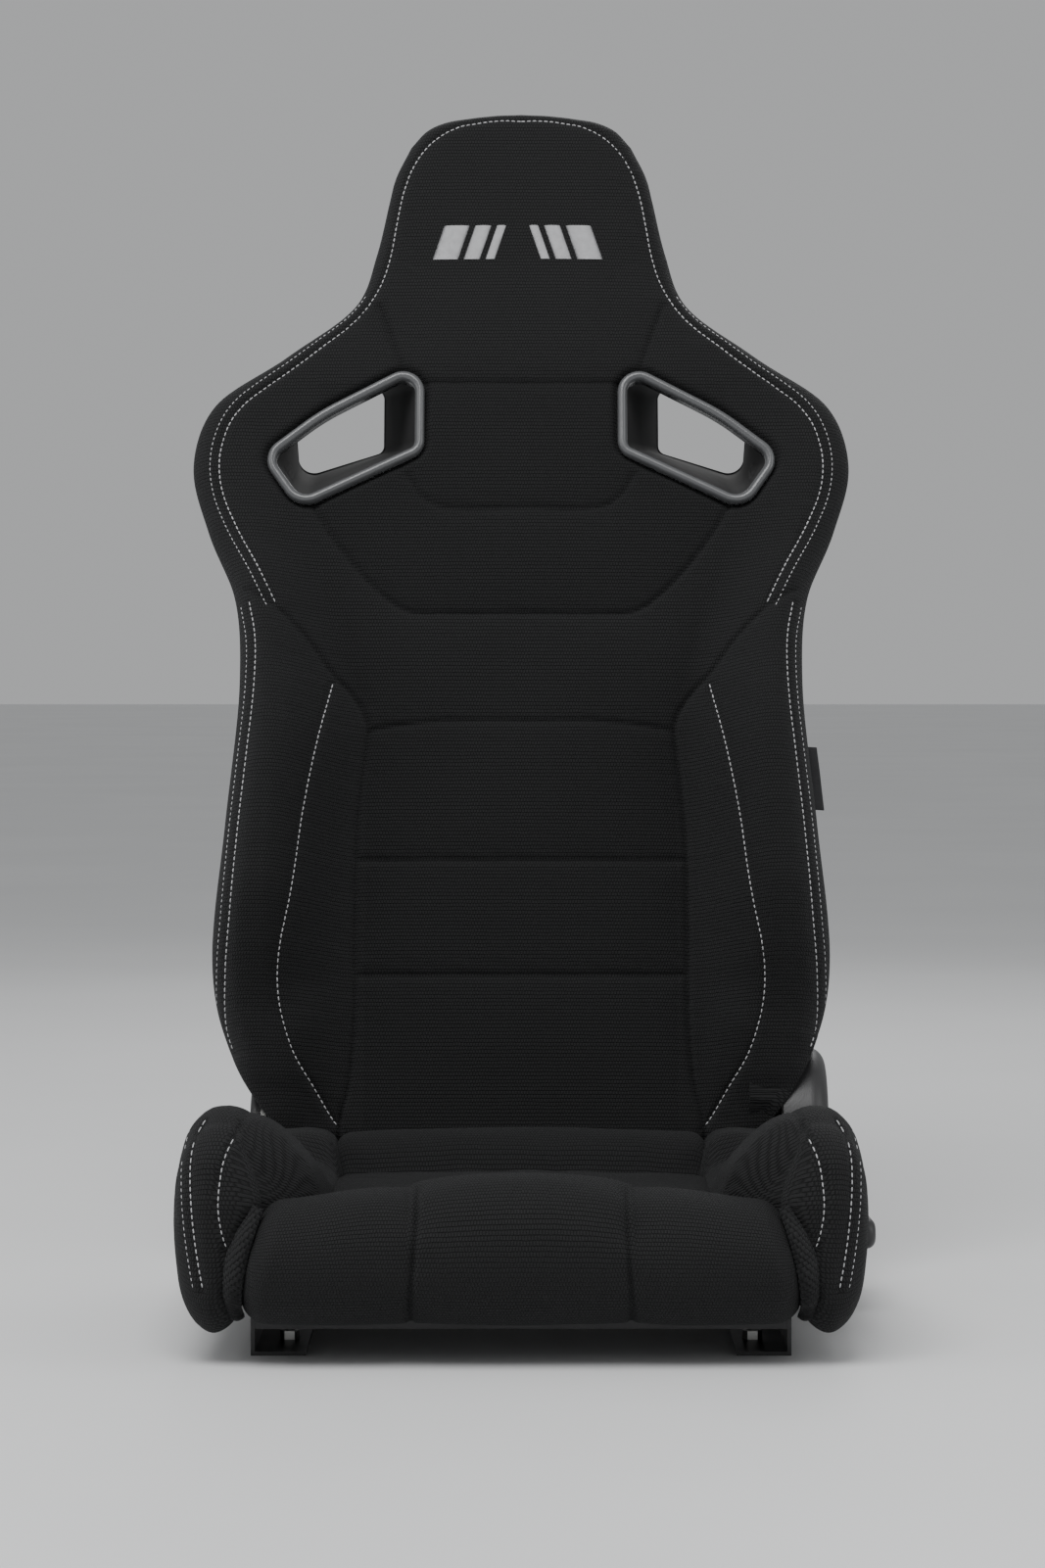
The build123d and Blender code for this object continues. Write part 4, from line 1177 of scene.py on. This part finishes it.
def onto_back(tree, line):
    """Where (x, u) points in millimetres meet the front of the backrest."""
    towards = (BACK.to_3x3() @ Vector((0, 0, -1))).normalized()
    return hits(tree, [BACK @ Vector((x * MM, u * MM, 0.25)) for x, u in line], towards)


def evenly(line, pitch):
    """Points along an open line at an even pitch."""
    line = np.asarray(line, float)
    run = length_along(line)
    places = np.arange(0, run[-1], pitch)
    return np.column_stack([np.interp(places, run, line[:, i]) for i in range(line.shape[1])])


LONGEST_STITCH = 0.012
THREAD_SIDES = 6
# Rings along a thread: place from start to end, thickness, rise over the cloth
THREAD_RINGS = ((0.0, 0.3, -0.75), (0.1, 0.75, -0.1), (0.3, 1.0, 0.3), (0.7, 1.0, 0.3), (0.9, 0.75, -0.1),
                (1.0, 0.3, -0.75))


def threads(name, strokes, body, material, radius=0.55):
    """One mesh of short threads: strokes are (start, end, normal) in world metres, radius in millimetres."""
    start = np.array([s[0] for s in strokes])
    end = np.array([s[1] for s in strokes])
    up = np.array([s[2] for s in strokes])
    along = end - start
    length = np.linalg.norm(along, axis=1)
    along /= length[:, None]
    across = np.cross(along, up)
    across /= np.linalg.norm(across, axis=1)[:, None]
    up = np.cross(across, along)
    r = radius * MM
    rings = []
    for share, fat, rise in THREAD_RINGS:
        centre = start + (end - start) * share + up * (rise * r)
        for k in range(THREAD_SIDES):
            turn = 2 * math.pi * k / THREAD_SIDES
            rings.append(centre + (across * math.cos(turn) * 1.15 + up * math.sin(turn)) * (fat * r))
    points = np.stack(rings, 1)
    index = numbered(len(THREAD_RINGS), THREAD_SIDES)
    one = [*tube_faces(index), index[0], index[-1][::-1]]
    faces = [face + i * index.size for i in range(len(strokes)) for face in one]
    made = make_object(name, points.reshape(-1, 3) / MM, faces, [material])
    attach(made, body)
    return made


def stitches(found, share=0.76):
    """Strokes of a running stitch along surface points: a thread, then a gap."""
    strokes = []
    for (a, na), (b, nb) in zip(found[:-1], found[1:]):
        if 1e-5 <= np.linalg.norm(b - a) <= LONGEST_STITCH:
            strokes.append((a, a + (b - a) * share, na + nb))
    return strokes


STITCH_PITCH = 5.0
SMALL_PITCH = 4.6
SMALL_SHARE = 0.62
BACK_THREAD = 0.52
BACK_SMALL_THREAD = 0.36
SEAT_THREAD = 0.46
SEAT_SMALL_THREAD = 0.3


def back_stitches(cover):
    """Bright seam stitching, and a finer second row outside two of the seams."""
    tree = surface_tree(cover)
    head = outline_through(HEAD_SEAM, 6)
    seams = [head, outline_through(FOLD_SEAM, 6), outline_through(OUTER_SEAM, 6)]
    second = [parallel(head, -DOUBLE_GAP)[head[:, 1] < 722], parallel(seams[2], -DOUBLE_GAP)]
    bright, dim = [], []
    for side in (-1, 1):
        for line in seams:
            bright.extend(stitches(onto_back(tree, evenly(line * (side, 1), STITCH_PITCH))))
        for line in second:
            dim.extend(stitches(onto_back(tree, evenly(line * (side, 1), SMALL_PITCH)), SMALL_SHARE))
    threads("back_stitching", bright, "backrest", SILVER_THREAD, BACK_THREAD)
    threads("back_stitching_outer", dim, "backrest", SILVER_THREAD, BACK_SMALL_THREAD)


MOTIF_U = (756.0, 787.0)
MOTIF_PITCH = 0.9
MOTIF_LEAN = 10.0
MOTIF_LIFT = 0.5
# Left edge and width of each bar
MOTIF_BARS = ((-72, 22), (-45, 14), (-26, 8), (12, 8), (25, 14), (44, 22))


def headrest_motif(cover):
    """Plain embroidered bars, slanted towards the middle, in satin stitch."""
    tree = surface_tree(cover)
    strokes = []
    low, high = MOTIF_U
    for left, width in MOTIF_BARS:
        lean = MOTIF_LEAN if left < 0 else -MOTIF_LEAN
        for u in np.arange(low, high, MOTIF_PITCH):
            shift = lean * ((u - low) / (high - low) - 0.5)
            a, b = left + shift, left + width + shift
            found = onto_back(tree, ((a, u), ((a + b) / 2, u), (b, u)))
            if len(found) == 3:
                lift = found[1][1] * MOTIF_LIFT * MM
                strokes.append((found[0][0] + lift, found[2][0] + lift, found[1][1]))
    threads("headrest_motif", strokes, "backrest", EMBROIDERY)


def seat_bolsters():
    """Covers of the two cushion bolsters, the left one a mirrored copy, with their stitching."""
    points, faces = seat_bolster_mesh()
    right = make_object("seat_bolster_cover_right", points, faces, [SEAT_KNIT])
    welded = bmesh.new()
    welded.from_mesh(right.data)
    bmesh.ops.remove_doubles(welded, verts=welded.verts, dist=0.0003)
    bmesh.ops.recalc_face_normals(welded, faces=welded.faces)
    welded.to_mesh(right.data)
    welded.free()
    tree = surface_tree(right)
    fold = outline_through(BOLSTER_FOLD, 4)
    outer = outline_through(BOLSTER_OUTER, 4)
    beyond = parallel(outer, -BOLSTER_OUTER_GAP)
    seams = [np.array([p for p, _ in onto_front(tree, line)]) / MM for line in (fold, outer)]
    seams.append(np.array(BOLSTER_CREST, float))
    gap = press(right, seams, depth=2.2, width=2.6, puff=1.6)
    x, y, z = (read_vectors(right.data) / MM).T
    held = bell(gap, 4.0) + 1 - smoothstep(z, 34, 46) + smoothstep(y, 70, 90)
    held = held + 1 - smoothstep(x, 156, 168)
    fill_out(right, held, cap=2.4)
    weave_round(right, axis_y=-190.0, axis_z=100.0, reach=75.0)
    left = placed("seat_bolster_cover_left", right.data.copy())
    left.data.transform(Matrix.Diagonal((-1, 1, 1, 1)))
    left.data.flip_normals()
    strokes, small = [], []
    for made, side, word in ((right, 1, "right"), (left, -1, "left")):
        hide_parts("seat_bolster_" + word)
        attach(made, "base")
        tree = surface_tree(made)
        for line in (fold, outer):
            strokes.extend(stitches(onto_front(tree, evenly(line * (side, 1), STITCH_PITCH))))
        small.extend(stitches(onto_front(tree, evenly(beyond * (side, 1), SMALL_PITCH)), SMALL_SHARE))
    threads("seat_stitching", strokes, "base", SILVER_THREAD, SEAT_THREAD)
    threads("seat_stitching_outer", small, "base", SILVER_THREAD, SEAT_SMALL_THREAD)


INSERT_EDGE = 152.0
INSERT_ROUND = 14.0
INSERT_FALL = 15.0
INSERT_CROWN = 4.0
INSERT_DROPS = (6.0, 16.0, 30.0)
INSERT_LOW = 62.0
CREASE_Y = 57
INSERT_Z = ((-212, 102), (-60, 104), (20, 103), (48, 101), (57, 98), (66, 104), (80, 119), (92, 125),
            (106, 127), (124, 124), (136, 113), (143, 100))


def seat_insert():
    """Cushion's centre panel and the roll behind it, as one sewn cover."""
    xs = rounded_span(INSERT_EDGE, INSERT_ROUND, 120)
    ys = np.concatenate([np.arange(-212, 40, 3.0), np.arange(40, 144, 1.6)])
    gx, gy = (grid.ravel() for grid in np.meshgrid(xs, ys))
    z = table(gy, INSERT_Z)
    z += INSERT_CROWN * np.cos(np.clip(np.abs(gx) / INSERT_EDGE, 0, 1) * math.pi / 2)
    crease = np.abs(gy - CREASE_Y)
    z += 1.6 * (1 - np.exp(-crease / 12)) - 3.0 * bell(crease, 2.6)
    z += 0.7 * np.sin(gx * 0.05 + 0.6) * np.sin(gy * 0.06)
    z += 0.5 * np.sin(gx * 0.13 + gy * 0.02) * np.exp(-crease / 18)
    near = np.clip((INSERT_EDGE - np.abs(gx)) / INSERT_ROUND, 0, 1)
    z -= INSERT_FALL * (1 - quarter_round(near))
    points = np.column_stack([gx, gy, z])
    cloth = np.column_stack([gx, gy, gx * 0])
    index = numbered(len(ys), len(xs))
    loop = grid_border(index)
    rings, ring_cloth = [], []
    for drop in INSERT_DROPS:
        ring = points[loop].copy()
        ring[:, 2] = np.maximum(ring[:, 2] - drop, INSERT_LOW)
        rings.append(ring)
        ring_cloth.append(cloth[loop] + (0, -drop, 0))
    wall = skirt_faces(loop, len(points), len(rings))[:, [0, 3, 2, 1]]
    pad = make_object("seat_insert", np.vstack([points, *rings]), np.vstack([grid_faces(index), wall]),
                      [MESH_KNIT], cloth=np.vstack([cloth, *ring_cloth]))
    x, y, _ = (read_vectors(pad.data) / MM).T
    held = bell(y - CREASE_Y, 4.0) + smoothstep(np.abs(x), INSERT_EDGE - 8, INSERT_EDGE - 3)
    held = held + 1 - smoothstep(y, -206, -196) + smoothstep(y, 134, 140)
    fill_out(pad, held, cap=3.0)
    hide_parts("seat_centre_pad")
    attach(pad, "base")


GUSSET_OUT = ((196, 118), (206, 99), (214, 80), (217, 65), (216, 46), (211, 34))
GUSSET_IN = ((191, 116), (198, 93), (203.5, 69), (206, 50), (205, 36))
GUSSET_RIB = 3.2
# Height z, and the y of the roll's front there
GUSSET_FRONT = ((30, 40, 52, 74, 98, 117, 126), (-262, -266, -277, -284, -279, -264, -246))


def gussets():
    """Ribbed strips between the thigh roll's ends and the bolsters."""
    out = evenly(outline_through(GUSSET_OUT, 8), 0.62)
    share = np.linspace(0, 1, len(out))
    inner_line = outline_through(GUSSET_IN, 8)
    inner = np.column_stack([np.interp(share, np.linspace(0, 1, len(inner_line)), inner_line[:, i])
                             for i in range(2)])
    across = np.linspace(0, 1, 13)
    run = length_along(out)
    for side, word in ((1, "right"), (-1, "left")):
        points, cloth = [], []
        for i in range(len(out)):
            rib = 0.5 + 0.5 * math.cos(2 * math.pi * run[i] / GUSSET_RIB)
            z = (out[i][1] + inner[i][1]) / 2
            front = np.interp(z, *GUSSET_FRONT)
            for t in across:
                x, z = inner[i] + (out[i] - inner[i]) * t
                bulge = math.sin(math.pi * t) ** 0.6
                y = front + 7.0 - bulge * (3.2 + 1.6 * rib) + 10 * t ** 2
                points.append((x, y, z))
                cloth.append((t * 12, run[i], 0))
        quads = grid_faces(numbered(len(out), len(across)))
        points, quads = sided(np.array(points, float), quads, side)
        strip = make_object("roll_gusset_" + word, points, quads, [SEAT_KNIT], cloth=np.array(cloth))
        thick = strip.modifiers.new("thickness", "SOLIDIFY")
        thick.thickness = 0.003
        thick.offset = -1
        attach(strip, "base")


LABEL_U = (264, 318)
LABEL_WIDTH = 13.0
LABEL_W = 61


def side_label():
    """Blank woven tag in the right bolster's outer seam."""
    points, cloth = [], []
    us = np.linspace(*LABEL_U, 28)
    across = np.linspace(0, 1, 9)
    for u in us:
        start = half_width(u) - 5
        for t in across:
            wave = 1.2 * math.sin(u * 0.11) * t
            points.append((start + LABEL_WIDTH * t, u, LABEL_W + wave - 2.0 * t * t))
            cloth.append((LABEL_WIDTH * t, u, 0))
    quads = grid_faces(numbered(len(us), len(across)))
    tag = make_object("side_label", np.array(points), quads, [TAG_CLOTH], BACK, cloth=np.array(cloth))
    thick = tag.modifiers.new("thickness", "SOLIDIFY")
    thick.thickness = 0.0014
    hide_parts("side_tag")
    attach(tag, "backrest")


FINISHES = {
    "frame_paint": FRAME_PAINT,
    "zinc_steel": ZINC,
    "spring_steel": SPRING,
    "cover_plastic": COVER_PLASTIC,
    "bronze_bush": BRONZE,
    "trim_plastic": BEZEL_PLASTIC,
    "shell_plastic": SHELL_PLASTIC,
    "tag_cloth": TAG_CLOTH,
    "knit_fabric": RIB_KNIT,
    "centre_fabric": MESH_KNIT,
}


def finish_cad_nodes():
    """Gives each CAD node the material of its slot."""
    for part in frame["record"]["subparts"]:
        for held in frame["nodes"][part["node"]].material_slots:
            held.material = FINISHES[part["material_slot"]]


finish_cad_nodes()
back = back_cover()
for side, word in ((1, "right"), (-1, "left")):
    harness_trim(side, word)
back_shell()
back_stitches(back)
headrest_motif(back)
side_label()
thigh_roll()
seat_bolsters()
seat_insert()
gussets()
